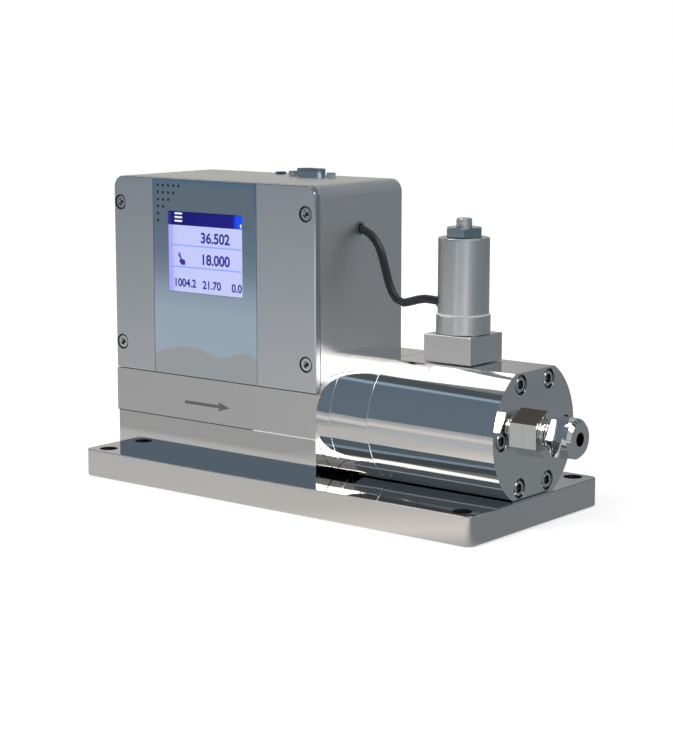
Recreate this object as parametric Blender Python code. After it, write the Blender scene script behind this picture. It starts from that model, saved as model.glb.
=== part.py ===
"""Coriolis mass flow meter with a control valve on a steel base plate.

Metres, +X along the flow, +Y away from the display side, +Z up. The origin is on the plate's
underside, in the middle of the plate.
"""

import math

import bmesh
import bpy
from mathutils import Matrix, Vector

# Clearance between neighbours that touch on the real instrument
GAP = 0.0003

# Base plate
PLATE_LENGTH = 0.2450
PLATE_DEPTH = 0.1086
PLATE_THICK = 0.0139
PLATE_CORNER_R = 0.0043
PLATE_EDGE = 0.0004
PLATE_HOLE_R = 0.0047
PLATE_HOLE_INSET_X = 0.0100
PLATE_HOLE_INSET_Y = 0.0078

# Round sensor body with a flat above and below
BODY_R = 0.0340
FLAT_OFFSET = 0.0297
AXIS_Z = PLATE_THICK + FLAT_OFFSET
BODY_BASE = PLATE_THICK + GAP
FLAT_TOP = AXIS_Z + FLAT_OFFSET
SEAM_1_X = 0.0254
SEAM_2_X = 0.0484
END_X = 0.1201

# Electronics box
BOX_LEFT = -0.1176
BOX_RIGHT = 0.0170
BOX_FLUSH = 0.0001
BOX_HALF_DEPTH = BODY_R + BOX_FLUSH
BOX_TOP = 0.1552
BOX_ROUND_R = 0.0062
SPLIT_Z = 0.0329
BLOCK_INSET = 0.0005

# Space inside the box
CAVITY_INSET_LEFT = 0.0098
CAVITY_INSET_RIGHT = 0.0112
CAVITY_INSET_TOP = 0.0048
CAVITY_FLOOR = 0.0600
CAVITY_BACK = BOX_HALF_DEPTH - 0.0050
CAVITY_CORNER_R = 0.0040
GROOVE_OUT = 0.0008
GROOVE_WIDTH = 0.0016
GROOVE_DEPTH = 0.0014

# Front cover, label film and display
COVER_BOTTOM = 0.0549
COVER_THICK = 0.0040
COVER_EDGE = 0.0006
COVER_SCREW_LEFT = BOX_LEFT + 0.0045
COVER_SCREW_RIGHT = BOX_RIGHT - 0.0062
COVER_SCREW_LOW = 0.0689
COVER_SCREW_HIGH = BOX_TOP - 0.0136
COVER_SCREW_HEAD_R = 0.0034
COVER_SCREW_HEAD_H = 0.0021
COVER_SCREW_R = 0.0019
LABEL_LEFT = -0.0897
LABEL_RIGHT = -0.0205
LABEL_TOP = BOX_TOP - 0.0009
LABEL_RECESS = 0.0006
WINDOW_LEFT = -0.0796
WINDOW_RIGHT = -0.0296
WINDOW_HEIGHT = 0.0409
WINDOW_TOP = BOX_TOP - 0.0164
WINDOW_BOTTOM = WINDOW_TOP - WINDOW_HEIGHT
MODULE_DEPTH = 0.0075
MODULE_OVER_LEFT = 0.0050
MODULE_OVER_RIGHT = 0.0080
MODULE_OVER_LOW = 0.0060
MODULE_OVER_HIGH = 0.0040

# Nine-way connector on the box
CONNECTOR_X = -0.0274
CONNECTOR_Y = 0.0172
JACKSCREW_SPACING = 0.0250
JACKSCREW_AF = 0.0042
JACKSCREW_H = 0.0027
SHELL_FRONT_W = 0.0158
SHELL_BACK_W = 0.0140
SHELL_DEPTH = 0.0070
SHELL_WALL = 0.0005
SHELL_TOP = BOX_TOP + 0.0044
FLANGE_OVER = 0.0029
FLANGE_HALF_DEPTH = 0.0060
FLANGE_THICK = 0.0012
PLUG_X = -0.0560
PLUG_Y = BOX_HALF_DEPTH - 0.0076

# Screws in the outlet end face
END_SCREW_HEAD_R = 0.0042
END_SCREW_HEAD_H = 0.0046
END_SCREW_R = 0.0024
END_SCREW_SIDE_Y = 0.0268
END_SCREW_NEAR_Y = 0.0117
END_SCREW_NEAR_Z = 0.0242
END_SCREWS = (
    (-END_SCREW_SIDE_Y, 0.0),
    (END_SCREW_SIDE_Y, 0.0),
    (-END_SCREW_NEAR_Y, END_SCREW_NEAR_Z),
    (END_SCREW_NEAR_Y, END_SCREW_NEAR_Z),
    (-END_SCREW_NEAR_Y, -END_SCREW_NEAR_Z),
    (END_SCREW_NEAR_Y, -END_SCREW_NEAR_Z),
)

# Tube fittings
HEX_AF = 0.0196
HEX_LENGTH = 0.0070
NECK_R = 0.0063
NUT_START = 0.0123
NUT_AF = 0.0175
NUT_LENGTH = 0.0082
COLLAR_R = 0.0094
COLLAR_END_R = 0.0079
FITTING_LENGTH = 0.0248
FITTING_BORE_R = 0.0033
STUB_R = 0.0060
STUB_LENGTH = 0.0070
SPACER_R = 0.0103
SPACER_THICK = 0.0006
INLET_X = BOX_LEFT - GAP - SPACER_THICK

# Control valve
VALVE_X = 0.0793
VALVE_SIDE = 0.0267
VALVE_BLOCK_TOP = 0.0869
COLLAR_TOP = 0.0960
VALVE_COLLAR_R = 0.0129
COIL_R = 0.0122
COIL_TOP = 0.1324
COIL_EDGE = 0.0009
COIL_NUT_AF = 0.01625
COIL_NUT_TOP = 0.1371
COIL_NUT_TURN = math.radians(5)
STEM_R = 0.0037
STEM_TOP = 0.1413
STEM_ROOT = 0.1180

# Lead from the box to the valve
LEAD_R = 0.00205
LEAD_STEP = 0.0045
LEAD_HIGH_Z = BOX_TOP - 0.0223
LEAD_LOW_Z = 0.1009
LEAD_TUCK = 0.0030
# Bends as shares of the way across to the coil and of the drop down to it
LEAD_BENDS = (
    (0.116, 0.066), (0.218, 0.209), (0.273, 0.378), (0.321, 0.612), (0.365, 0.819),
    (0.433, 1.0), (0.513, 1.078), (0.613, 1.053), (0.723, 1.006), (0.828, 0.984),
)
GROMMET_R = 0.0033
GROMMET_PROUD = 0.0006

# Bolts that hold the meter to its plate, put in from below
BOLT_X = (-0.0900, -0.0200, 0.0620, 0.1050)
BOLT_HEAD_R = 0.0050
BOLT_HEAD_H = 0.0060
BOLT_R = 0.0030
BOLT_REACH = 0.0090

# Inner works
BOARD_Y = -BOX_HALF_DEPTH + 0.0191
BOARD_THICK = 0.0016
STANDOFF_R = 0.0025
MANIFOLD_LEFT = -0.0900
MANIFOLD_RIGHT = -0.0180
MANIFOLD_H = 0.0090
MANIFOLD_HALF_DEPTH = 0.0080
TUBE_R = 0.0016
TUBE_LEFT = -0.0780
TUBE_RIGHT = -0.0300
TUBE_TOP = BOX_TOP - 0.0272
TUBE_BEND_R = 0.0160
BRACKET_FRONT = CAVITY_BACK - 0.0101
TUBE_Y = BRACKET_FRONT - 0.0110
BRACKET_THICK = 0.0030
BRACKET_OVER = 0.0060
DRIVE_COIL_R = 0.0060
PICKOFF_R = 0.0040
PICKOFF_DROP = 0.0120

ROUND = 32


def linear(hex_colour):
    """Turn an sRGB hex colour into linear red, green, blue and alpha."""
    channels = [int(hex_colour[i:i + 2], 16) / 255 for i in (1, 3, 5)]
    return [c / 12.92 if c <= 0.04045 else ((c + 0.055) / 1.055) ** 2.4 for c in channels] + [1.0]


def material(name, colour, roughness, metallic):
    mat = bpy.data.materials.get(name)
    if mat:
        return mat
    mat = bpy.data.materials.new(name)
    mat.use_nodes = True
    shader = mat.node_tree.nodes["Principled BSDF"]
    shader.inputs["Base Color"].default_value = linear(colour)
    shader.inputs["Roughness"].default_value = roughness
    shader.inputs["Metallic"].default_value = metallic
    return mat


def finishes():
    """The finishes that the sub-parts share."""
    return {
        "plate": material("satin_steel_plate", "#C4BEBA", 0.22, 1.0),
        "polished": material("polished_steel", "#D2D2D0", 0.08, 1.0),
        "cast": material("blasted_cast_aluminium", "#A9A5A0", 0.45, 1.0),
        "cover": material("satin_aluminium", "#868A92", 0.40, 1.0),
        "screw": material("screw_steel", "#B9BABA", 0.25, 1.0),
        "fitting": material("fitting_steel", "#C2C2C4", 0.18, 1.0),
        "valve": material("valve_steel", "#8E9397", 0.30, 1.0),
        "label": material("label_film", "#93A8B8", 0.45, 0.0),
        "glass": material("display_glass", "#C9CEFF", 0.08, 0.0),
        "black": material("black_plastic", "#1E1F22", 0.45, 0.0),
        "rubber": material("black_rubber", "#2A2B2D", 0.60, 0.0),
        "board": material("circuit_board_green", "#1E5B3A", 0.50, 0.0),
        "brass": material("brass", "#B08D4A", 0.30, 1.0),
        "winding": material("copper_winding", "#A8643A", 0.40, 1.0),
    }


def clear_scene():
    for obj in list(bpy.data.objects):
        bpy.data.objects.remove(obj, do_unlink=True)


def add_object(name, bm, mat, smooth=True):
    """Make one object of a bmesh, with outward faces."""
    bmesh.ops.remove_doubles(bm, verts=bm.verts, dist=1e-7)
    bmesh.ops.dissolve_degenerate(bm, edges=bm.edges, dist=1e-8)
    bmesh.ops.recalc_face_normals(bm, faces=bm.faces)
    mesh = bpy.data.meshes.new(name)
    bm.to_mesh(mesh)
    bm.free()
    if mat:
        mesh.materials.append(mat)
    if smooth:
        mesh.shade_smooth()
        mesh.set_sharp_from_angle(angle=math.radians(28))
    obj = bpy.data.objects.new(name, mesh)
    bpy.context.collection.objects.link(obj)
    return obj


def cutter(obj):
    """Hide a cutting body from the render and draw it as a wire."""
    obj.hide_render = True
    obj.display_type = "WIRE"
    return obj


def boolean(obj, other, operation="DIFFERENCE"):
    """Add a Boolean of another body, which becomes a cutter."""
    mod = obj.modifiers.new(operation.lower(), "BOOLEAN")
    mod.operation = operation
    mod.solver = "EXACT"
    mod.object = cutter(other)
    return mod


def bevel(obj, width, segments=1, limit_deg=40):
    mod = obj.modifiers.new("edge", "BEVEL")
    mod.width = width
    mod.segments = segments
    mod.limit_method = "ANGLE"
    mod.angle_limit = math.radians(limit_deg)
    return mod


def prism(name, outline, start, end, mat=None, axis="Z"):
    """Extrude a closed outline from start to end along an axis.

    The outline's two coordinates are (x, y) for Z, (x, z) for Y and (y, z) for X.
    """
    place = {
        "X": lambda a, b, t: Vector((t, a, b)),
        "Y": lambda a, b, t: Vector((a, t, b)),
        "Z": lambda a, b, t: Vector((a, b, t)),
    }[axis]
    bm = bmesh.new()
    face = bm.faces.new([bm.verts.new(place(a, b, start)) for a, b in outline])
    grown = bmesh.ops.extrude_face_region(bm, geom=[face])
    new_verts = [v for v in grown["geom"] if isinstance(v, bmesh.types.BMVert)]
    bmesh.ops.translate(bm, verts=new_verts, vec=place(0, 0, end - start))
    return add_object(name, bm, mat)


def box(name, low, high, mat=None):
    outline = [(low[0], low[1]), (high[0], low[1]), (high[0], high[1]), (low[0], high[1])]
    return prism(name, outline, low[2], high[2], mat)


def arc(cx, cy, r, start_deg, end_deg, steps):
    angles = [math.radians(start_deg + (end_deg - start_deg) * i / steps) for i in range(steps + 1)]
    return [(cx + r * math.cos(a), cy + r * math.sin(a)) for a in angles]


def rounded_rect(left, low, right, high, r, steps=4):
    """Outline of a rectangle whose four corners share a radius."""
    return (
        arc(right - r, high - r, r, 0, 90, steps)
        + arc(left + r, high - r, r, 90, 180, steps)
        + arc(left + r, low + r, r, 180, 270, steps)
        + arc(right - r, low + r, r, 270, 360, steps)
    )


def box_outline(low, inset=0.0, r=BOX_ROUND_R, steps=8):
    """Front view of the electronics box: two round top corners, square below."""
    left = BOX_LEFT + inset
    right = BOX_RIGHT - inset
    high = BOX_TOP - inset
    top_right = arc(right - r, high - r, r, 0, 90, steps)
    top_left = arc(left + r, high - r, r, 90, 180, steps)
    return [(left, low), (right, low)] + top_right + top_left


def polygon(sides, across_flats, turn=0.0):
    """Regular outline about the origin, measured across its flats."""
    r = across_flats / 2 / math.cos(math.pi / sides)
    return [
        (r * math.cos(turn + 2 * math.pi * i / sides), r * math.sin(turn + 2 * math.pi * i / sides))
        for i in range(sides)
    ]


def shifted(outline, da, db):
    return [(a + da, b + db) for a, b in outline]


def turned(name, profile, origin, direction, mat=None, sides=ROUND, first=0.0):
    """Spin a closed profile of (radius, distance) points about an axis, from a first angle."""
    bm = bmesh.new()
    verts = [bm.verts.new((r, 0.0, t)) for r, t in profile]
    edges = [bm.edges.new((verts[i], verts[(i + 1) % len(verts)])) for i in range(len(verts))]
    axis_edges = [e for e in edges if all(abs(v.co.x) < 1e-9 for v in e.verts)]
    bmesh.ops.delete(bm, geom=axis_edges, context="EDGES")
    bmesh.ops.spin(
        bm,
        geom=list(bm.verts) + list(bm.edges),
        axis=(0, 0, 1),
        cent=(0, 0, 0),
        angle=2 * math.pi,
        steps=sides,
        use_merge=True,
    )
    turn = Vector((0, 0, 1)).rotation_difference(Vector(direction)).to_matrix().to_4x4()
    turn = turn @ Matrix.Rotation(first, 4, "Z")
    bmesh.ops.transform(bm, matrix=Matrix.Translation(origin) @ turn, verts=bm.verts)
    return add_object(name, bm, mat)


def rod(name, r, start, end, mat=None, sides=ROUND):
    """Plain cylinder between two points, its facets turned by half a step."""
    start = Vector(start)
    run = Vector(end) - start
    profile = [(0, 0), (r, 0), (r, run.length), (0, run.length)]
    return turned(name, profile, start, run.normalized(), mat, sides, math.pi / sides)


def cap_screw(name, seat, direction, head_r, head_h, shank_r, shank_len, mat):
    """Socket head screw. The seat is where the head's underside meets the shank, and the
    direction points out of the hole."""
    edge = head_h * 0.18
    profile = [
        (0, -shank_len),
        (shank_r, -shank_len),
        (shank_r, 0),
        (head_r, 0),
        (head_r, head_h - edge),
        (head_r - edge, head_h),
        (0, head_h),
    ]
    obj = turned(name, profile, Vector(seat), Vector(direction), mat, 24)
    socket = prism(name + "_socket", polygon(6, head_r), head_h * 0.30, head_h + 0.001)
    turn = Vector((0, 0, 1)).rotation_difference(Vector(direction)).to_matrix().to_4x4()
    socket.data.transform(Matrix.Translation(Vector(seat)) @ turn)
    boolean(obj, socket)
    return obj


def screw_hole(target, seat, direction, head_r, head_h, shank_r, shank_len):
    """Counterbored hole for a cap screw, cut with one turned body."""
    clear = GAP
    profile = [
        (0, -shank_len - 0.001),
        (shank_r + clear, -shank_len - 0.001),
        (shank_r + clear, -clear),
        (head_r + 2 * clear, -clear),
        (head_r + 2 * clear, head_h + 0.004),
        (0, head_h + 0.004),
    ]
    boolean(target, turned(target.name + "_screw_hole", profile, Vector(seat), Vector(direction), None, 24))


def body_outline(base):
    """Section of the round body: two arcs between the flats, starting at the upper flat."""
    rise = FLAT_TOP - AXIS_Z
    drop = AXIS_Z - base
    top_deg = math.degrees(math.asin(rise / BODY_R))
    low_deg = math.degrees(math.asin(drop / BODY_R))
    steps = 44
    left = arc(0, AXIS_Z, BODY_R, 180 - top_deg, 180 + low_deg, steps)
    right = arc(0, AXIS_Z, BODY_R, -low_deg, top_deg, steps)
    return left + right


def make_base_plate(mats):
    half_l = PLATE_LENGTH / 2
    half_d = PLATE_DEPTH / 2
    outline = rounded_rect(-half_l, -half_d, half_l, half_d, PLATE_CORNER_R, 6)
    plate = prism("base_plate", outline, 0.0, PLATE_THICK, mats["plate"])
    bevel(plate, PLATE_EDGE)
    for sx in (-1, 1):
        for sy in (-1, 1):
            x = sx * (half_l - PLATE_HOLE_INSET_X)
            y = sy * (half_d - PLATE_HOLE_INSET_Y)
            hole = rod("plate_hole_cut", PLATE_HOLE_R, (x, y, -0.001), (x, y, PLATE_THICK + 0.001), None, 24)
            boolean(plate, hole)
    for x in BOLT_X:
        seat = (x, 0, BOLT_HEAD_H + GAP)
        screw_hole(plate, seat, (0, 0, -1), BOLT_HEAD_R, BOLT_HEAD_H, BOLT_R, PLATE_THICK)
    return plate


def make_plate_bolts(mats):
    seat_z = BOLT_HEAD_H + GAP
    length = PLATE_THICK - seat_z + BOLT_REACH
    for i, x in enumerate(BOLT_X):
        name = "plate_bolt_%d" % (i + 1)
        cap_screw(name, (x, 0, seat_z), (0, 0, -1), BOLT_HEAD_R, BOLT_HEAD_H, BOLT_R, length, mats["screw"])


def bolt_bore(target, x):
    """Blind hole up into a piece that stands on the plate."""
    low = (x, 0, PLATE_THICK - 0.002)
    high = (x, 0, PLATE_THICK + BOLT_REACH + 0.001)
    boolean(target, rod(target.name + "_bolt_bore", BOLT_R + GAP, low, high, None, 24))


def make_base_block(mats):
    """Polished steel foot below the split line of the box."""
    half = BOX_HALF_DEPTH - BLOCK_INSET
    low = (BOX_LEFT + BLOCK_INSET, -half, BODY_BASE)
    high = (BOX_RIGHT - GAP, half, SPLIT_Z - GAP)
    block = box("base_block", low, high, mats["polished"])
    for x in BOLT_X[:2]:
        bolt_bore(block, x)
    return block


def cavity_outline(grow=0.0):
    left = BOX_LEFT + CAVITY_INSET_LEFT - grow
    right = BOX_RIGHT - CAVITY_INSET_RIGHT + grow
    low = CAVITY_FLOOR - grow
    high = BOX_TOP - CAVITY_INSET_TOP + grow
    return rounded_rect(left, low, right, high, CAVITY_CORNER_R + grow, 5)


def connector_outline(grow=0.0):
    """D shape of the connector: its wide side faces the front."""
    front = SHELL_FRONT_W / 2 + grow
    back = SHELL_BACK_W / 2 + grow
    half = SHELL_DEPTH / 2 + grow
    cut = 0.0012
    points = [
        (-front + cut, -half),
        (front - cut, -half),
        (front, -half + cut),
        (back, half - cut),
        (back - cut, half),
        (-back + cut, half),
        (-back, half - cut),
        (-front, -half + cut),
    ]
    return shifted(points, CONNECTOR_X, CONNECTOR_Y)


def make_housing(mats):
    """Cast box with the first stretch of the round body, open towards the cover."""
    housing = prism("housing", box_outline(SPLIT_Z), -BOX_HALF_DEPTH, BOX_HALF_DEPTH, mats["cast"], "Y")
    stub = prism("stub_join", body_outline(BODY_BASE), BOX_RIGHT, SEAM_1_X, None, "X")
    boolean(housing, stub, "UNION")
    rim_y = -BOX_HALF_DEPTH + COVER_THICK + GAP
    pocket_low = (BOX_LEFT - 0.01, -BOX_HALF_DEPTH - 0.01, COVER_BOTTOM)
    pocket_high = (BOX_RIGHT + 0.0002, rim_y, BOX_TOP + 0.01)
    boolean(housing, box("cover_seat_cut", pocket_low, pocket_high))
    boolean(housing, prism("cavity_cut", cavity_outline(), -BOX_HALF_DEPTH - 0.01, CAVITY_BACK, None, "Y"))
    groove = cavity_outline(GROOVE_OUT + GROOVE_WIDTH)
    ring = prism("groove_cut", groove, rim_y - 0.001, rim_y + GROOVE_DEPTH, None, "Y")
    ring_core = prism("groove_core", cavity_outline(GROOVE_OUT), rim_y - 0.002, rim_y + 0.01, None, "Y")
    boolean(ring, ring_core)
    boolean(housing, ring)
    connector_cut = prism("connector_cut", connector_outline(GAP), BOX_TOP - 0.02, BOX_TOP + 0.01)
    boolean(housing, connector_cut)
    for x, y, r in top_holes():
        low = (x, y, BOX_TOP - CAVITY_INSET_TOP - 0.002)
        boolean(housing, rod("top_hole_cut", r + GAP, low, (x, y, BOX_TOP + 0.01), None, 16))
    lead_low = (BOX_RIGHT - CAVITY_INSET_RIGHT - 0.002, 0, LEAD_HIGH_Z)
    lead_high = (BOX_RIGHT + 0.01, 0, LEAD_HIGH_Z)
    boolean(housing, rod("lead_hole_cut", GROMMET_R - 0.0004, lead_low, lead_high, None, 24))
    for x, z in cover_screw_places():
        seat = (x, -BOX_HALF_DEPTH + COVER_THICK, z)
        low = (x, seat[1] + 0.0085, z)
        boolean(housing, rod("thread_cut", COVER_SCREW_R + GAP, low, (x, seat[1] - 0.01, z), None, 20))
    socket_low = (BOX_LEFT + STUB_LENGTH + 0.001, 0, AXIS_Z)
    socket_high = (BOX_LEFT - 0.01, 0, AXIS_Z)
    boolean(housing, rod("inlet_socket_cut", STUB_R + GAP, socket_low, socket_high, None, 24))
    return housing


def top_holes():
    """Places and radii of the round holes in the box's top."""
    half = JACKSCREW_SPACING / 2
    return (
        (CONNECTOR_X - half, CONNECTOR_Y, 0.0013),
        (CONNECTOR_X + half, CONNECTOR_Y, 0.0013),
        (PLUG_X, PLUG_Y, 0.0016),
    )


def cover_screw_places():
    across = (COVER_SCREW_LEFT, COVER_SCREW_RIGHT)
    return [(x, z) for z in (COVER_SCREW_LOW, COVER_SCREW_HIGH) for x in across]


def make_cover(mats):
    """Front cover with a seat for the label film and the display's window."""
    front = -BOX_HALF_DEPTH
    back = front + COVER_THICK
    cover = prism("front_cover", box_outline(COVER_BOTTOM + GAP), front, back, mats["cover"], "Y")
    bevel(cover, COVER_EDGE, 2, 60)
    label_low = (LABEL_LEFT - GAP, front - 0.01, COVER_BOTTOM - 0.01)
    label_high = (LABEL_RIGHT + GAP, front + LABEL_RECESS, LABEL_TOP + GAP)
    boolean(cover, box("label_seat_cut", label_low, label_high))
    window = rounded_rect(WINDOW_LEFT, WINDOW_BOTTOM, WINDOW_RIGHT, WINDOW_TOP, 0.0008, 2)
    boolean(cover, prism("window_cut", window, front - 0.01, back + 0.01, None, "Y"))
    for x, z in cover_screw_places():
        seat = (x, front + COVER_SCREW_HEAD_H + GAP, z)
        head = (COVER_SCREW_HEAD_R, COVER_SCREW_HEAD_H)
        screw_hole(cover, seat, (0, -1, 0), *head, COVER_SCREW_R, COVER_THICK)
    return cover


def make_cover_screws(mats):
    seat_y = -BOX_HALF_DEPTH + COVER_SCREW_HEAD_H + GAP
    for i, (x, z) in enumerate(cover_screw_places()):
        cap_screw(
            "cover_screw_%d" % (i + 1),
            (x, seat_y, z),
            (0, -1, 0),
            COVER_SCREW_HEAD_R,
            COVER_SCREW_HEAD_H,
            COVER_SCREW_R,
            0.0095,
            mats["screw"],
        )


def make_gasket(mats):
    rim_y = -BOX_HALF_DEPTH + COVER_THICK + GAP
    outer = cavity_outline(GROOVE_OUT + GROOVE_WIDTH - GAP)
    gasket = prism("cover_gasket", outer, rim_y, rim_y + GROOVE_DEPTH - GAP, mats["rubber"], "Y")
    core = prism("gasket_core_cut", cavity_outline(GROOVE_OUT + GAP), rim_y - 0.01, rim_y + 0.01, None, "Y")
    boolean(gasket, core)
    return gasket


def make_label(mats):
    front = -BOX_HALF_DEPTH
    outline = [(LABEL_LEFT, COVER_BOTTOM + 2 * GAP), (LABEL_RIGHT, COVER_BOTTOM + 2 * GAP)]
    outline += [(LABEL_RIGHT, LABEL_TOP), (LABEL_LEFT, LABEL_TOP)]
    label = prism("front_label", outline, front, front + LABEL_RECESS - GAP, mats["label"], "Y")
    window = rounded_rect(WINDOW_LEFT, WINDOW_BOTTOM, WINDOW_RIGHT, WINDOW_TOP, 0.0008, 2)
    boolean(label, prism("label_window_cut", window, front - 0.01, front + 0.01, None, "Y"))
    return label


def make_display(mats):
    front = -BOX_HALF_DEPTH
    back = front + COVER_THICK
    g = GAP
    pane = rounded_rect(WINDOW_LEFT + g, WINDOW_BOTTOM + g, WINDOW_RIGHT - g, WINDOW_TOP - g, 0.0006, 2)
    prism("display_glass", pane, front, front + 0.0015, mats["glass"], "Y")
    module = box(
        "display_module",
        (WINDOW_LEFT - MODULE_OVER_LEFT, back + GAP, WINDOW_BOTTOM - MODULE_OVER_LOW),
        (WINDOW_RIGHT + MODULE_OVER_RIGHT, back + MODULE_DEPTH, WINDOW_TOP + MODULE_OVER_HIGH),
        mats["black"],
    )
    stack = prism("display_stack_join", pane, front + 0.0015 + GAP, back + 0.001, None, "Y")
    boolean(module, stack, "UNION")


def make_electronics(mats):
    """Circuit board on four standoffs behind the cover."""
    left = BOX_LEFT + CAVITY_INSET_LEFT + 0.004
    right = BOX_RIGHT - CAVITY_INSET_RIGHT - 0.004
    low = CAVITY_FLOOR + 0.005
    high = BOX_TOP - CAVITY_INSET_TOP - 0.006
    outline = rounded_rect(left, low, right, high, 0.002, 3)
    board = prism("main_board", outline, BOARD_Y, BOARD_Y + BOARD_THICK, mats["board"], "Y")
    inset = 0.0045
    start_y = -BOX_HALF_DEPTH + COVER_THICK + GAP
    index = 1
    for x in (left + inset, right - inset):
        for z in (low + inset, high - inset):
            near, far = (x, BOARD_Y - 0.01, z), (x, BOARD_Y + 0.01, z)
            boolean(board, rod("board_hole_cut", 0.0016, near, far, None, 16))
            foot, tip = (x, start_y, z), (x, BOARD_Y - GAP, z)
            rod("board_standoff_%d" % index, STANDOFF_R, foot, tip, mats["brass"], 6)
            index += 1


def make_connector(mats):
    ceiling = BOX_TOP - CAVITY_INSET_TOP
    flange_top = ceiling - GAP
    flange_low = flange_top - FLANGE_THICK
    half = JACKSCREW_SPACING / 2
    reach = half + FLANGE_OVER
    near_y, far_y = CONNECTOR_Y - FLANGE_HALF_DEPTH, CONNECTOR_Y + FLANGE_HALF_DEPTH
    outline = rounded_rect(CONNECTOR_X - reach, near_y, CONNECTOR_X + reach, far_y, 0.001, 3)
    flange = prism("connector_flange", outline, flange_low, flange_top, mats["screw"])
    for x, y, r in top_holes()[:2]:
        under, over = (x, y, flange_low - 0.01), (x, y, flange_top + 0.01)
        boolean(flange, rod("flange_hole_cut", r + GAP, under, over, None, 16))
    shell = prism("connector_shell", connector_outline(), flange_top + GAP, SHELL_TOP, mats["screw"])
    insert_low = flange_top + GAP + 0.0010
    bore = prism("shell_bore_cut", connector_outline(-SHELL_WALL), insert_low, SHELL_TOP + 0.01)
    boolean(shell, bore)
    outline = connector_outline(-SHELL_WALL - GAP)
    insert = prism("connector_insert", outline, insert_low + GAP, SHELL_TOP - 0.0005, mats["black"])
    bevel(insert, 0.0002)
    for i, (x, y, r) in enumerate(top_holes()[:2]):
        head_low = BOX_TOP + GAP
        head = prism("jackscrew_%d" % (i + 1), shifted(polygon(6, JACKSCREW_AF, math.radians(20)), x, y),
                     head_low, BOX_TOP + JACKSCREW_H, mats["screw"])
        stem_low, stem_high = (x, y, flange_low - 0.002), (x, y, head_low + 0.001)
        boolean(head, rod("jack_stem_join", r, stem_low, stem_high, None, 16), "UNION")
        bore_low, bore_high = (x, y, BOX_TOP + 0.0012), (x, y, BOX_TOP + 0.01)
        boolean(head, rod("jack_bore_cut", 0.0012, bore_low, bore_high, None, 16))
    profile = [(0, -0.003), (0.0016, -0.003), (0.0016, 0), (0.0029, 0)]
    profile += [(0.0029, 0.0006), (0.0024, 0.0010), (0, 0.0010)]
    turned("top_plug", profile, (PLUG_X, PLUG_Y, BOX_TOP + GAP), (0, 0, 1), mats["screw"], 24)


def make_body_sections(mats):
    ring = prism("body_ring", body_outline(BODY_BASE), SEAM_1_X + GAP, SEAM_2_X - GAP, mats["polished"], "X")
    outlet = prism("outlet_body", body_outline(BODY_BASE), SEAM_2_X, END_X, mats["polished"], "X")
    for y, z in END_SCREWS:
        seat = (END_X - END_SCREW_HEAD_H - GAP, y, AXIS_Z + z)
        screw_hole(outlet, seat, (1, 0, 0), END_SCREW_HEAD_R, END_SCREW_HEAD_H, END_SCREW_R, 0.012)
    socket_low = (END_X - STUB_LENGTH - 0.001, 0, AXIS_Z)
    boolean(outlet, rod("outlet_socket_cut", STUB_R + GAP, socket_low, (END_X + 0.01, 0, AXIS_Z), None, 24))
    channel_low = (END_X - 0.030, 0, AXIS_Z)
    boolean(outlet, rod("outlet_channel_cut", FITTING_BORE_R, channel_low, (END_X, 0, AXIS_Z), None, 20))
    for x in BOLT_X[2:]:
        bolt_bore(outlet, x)
    return ring, outlet


def make_end_screws(mats):
    for i, (y, z) in enumerate(END_SCREWS):
        seat = (END_X - END_SCREW_HEAD_H - GAP, y, AXIS_Z + z)
        cap_screw(
            "end_screw_%d" % (i + 1), seat, (1, 0, 0),
            END_SCREW_HEAD_R, END_SCREW_HEAD_H, END_SCREW_R, 0.011, mats["screw"]
        )


def make_fitting(name, seat_x, side, mats):
    """Tube fitting on one end: hexagonal body, neck and nut with a chamfered collar."""
    face = seat_x + side * GAP

    def along(distance):
        return face + side * distance

    pointed = polygon(6, HEX_AF, math.pi / 2)
    flat = polygon(6, NUT_AF, 0.0)
    outline = shifted(pointed, 0, AXIS_Z)
    body = prism(name + "_body", outline, along(0), along(HEX_LENGTH), mats["fitting"], "X")
    neck_end = NUT_START + 0.004
    parts = [(STUB_R, -STUB_LENGTH, 0.001), (NECK_R, HEX_LENGTH - 0.001, neck_end)]
    for r, low, high in parts:
        near, far = (along(low), 0, AXIS_Z), (along(high), 0, AXIS_Z)
        boolean(body, rod(name + "_join", r, near, far, None, 32), "UNION")
    near, far = (along(-0.02), 0, AXIS_Z), (along(0.04), 0, AXIS_Z)
    boolean(body, rod(name + "_bore_cut", FITTING_BORE_R, near, far, None, 24))
    near, far = along(NUT_START), along(NUT_START + NUT_LENGTH)
    nut = prism(name + "_nut", shifted(flat, 0, AXIS_Z), near, far, mats["fitting"], "X")
    collar_low = NUT_START + NUT_LENGTH - 0.0005
    chamfer = 0.0016
    end = FITTING_LENGTH - GAP
    profile = [
        (0, collar_low),
        (COLLAR_R, collar_low),
        (COLLAR_R, end - chamfer),
        (COLLAR_END_R, end),
        (0, end),
    ]
    boolean(nut, turned(name + "_collar_join", profile, (face, 0, AXIS_Z), (side, 0, 0), None, 40), "UNION")
    nut_bore = [
        (0, NUT_START - 0.001),
        (NECK_R + GAP, NUT_START - 0.001),
        (NECK_R + GAP, neck_end + GAP),
        (FITTING_BORE_R, neck_end + GAP),
        (FITTING_BORE_R, FITTING_LENGTH + 0.001),
        (0, FITTING_LENGTH + 0.001),
    ]
    boolean(nut, turned(name + "_nut_bore_cut", nut_bore, (face, 0, AXIS_Z), (side, 0, 0), None, 32))


def make_inlet_spacer(mats):
    """Thin sealing washer between the box's left wall and the inlet fitting."""
    low = GAP + SPACER_THICK
    profile = [
        (STUB_R + GAP, GAP),
        (SPACER_R, GAP),
        (SPACER_R, low),
        (STUB_R + GAP, low),
    ]
    turned("inlet_spacer", profile, (BOX_LEFT, 0, AXIS_Z), (-1, 0, 0), mats["polished"], 40)


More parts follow.
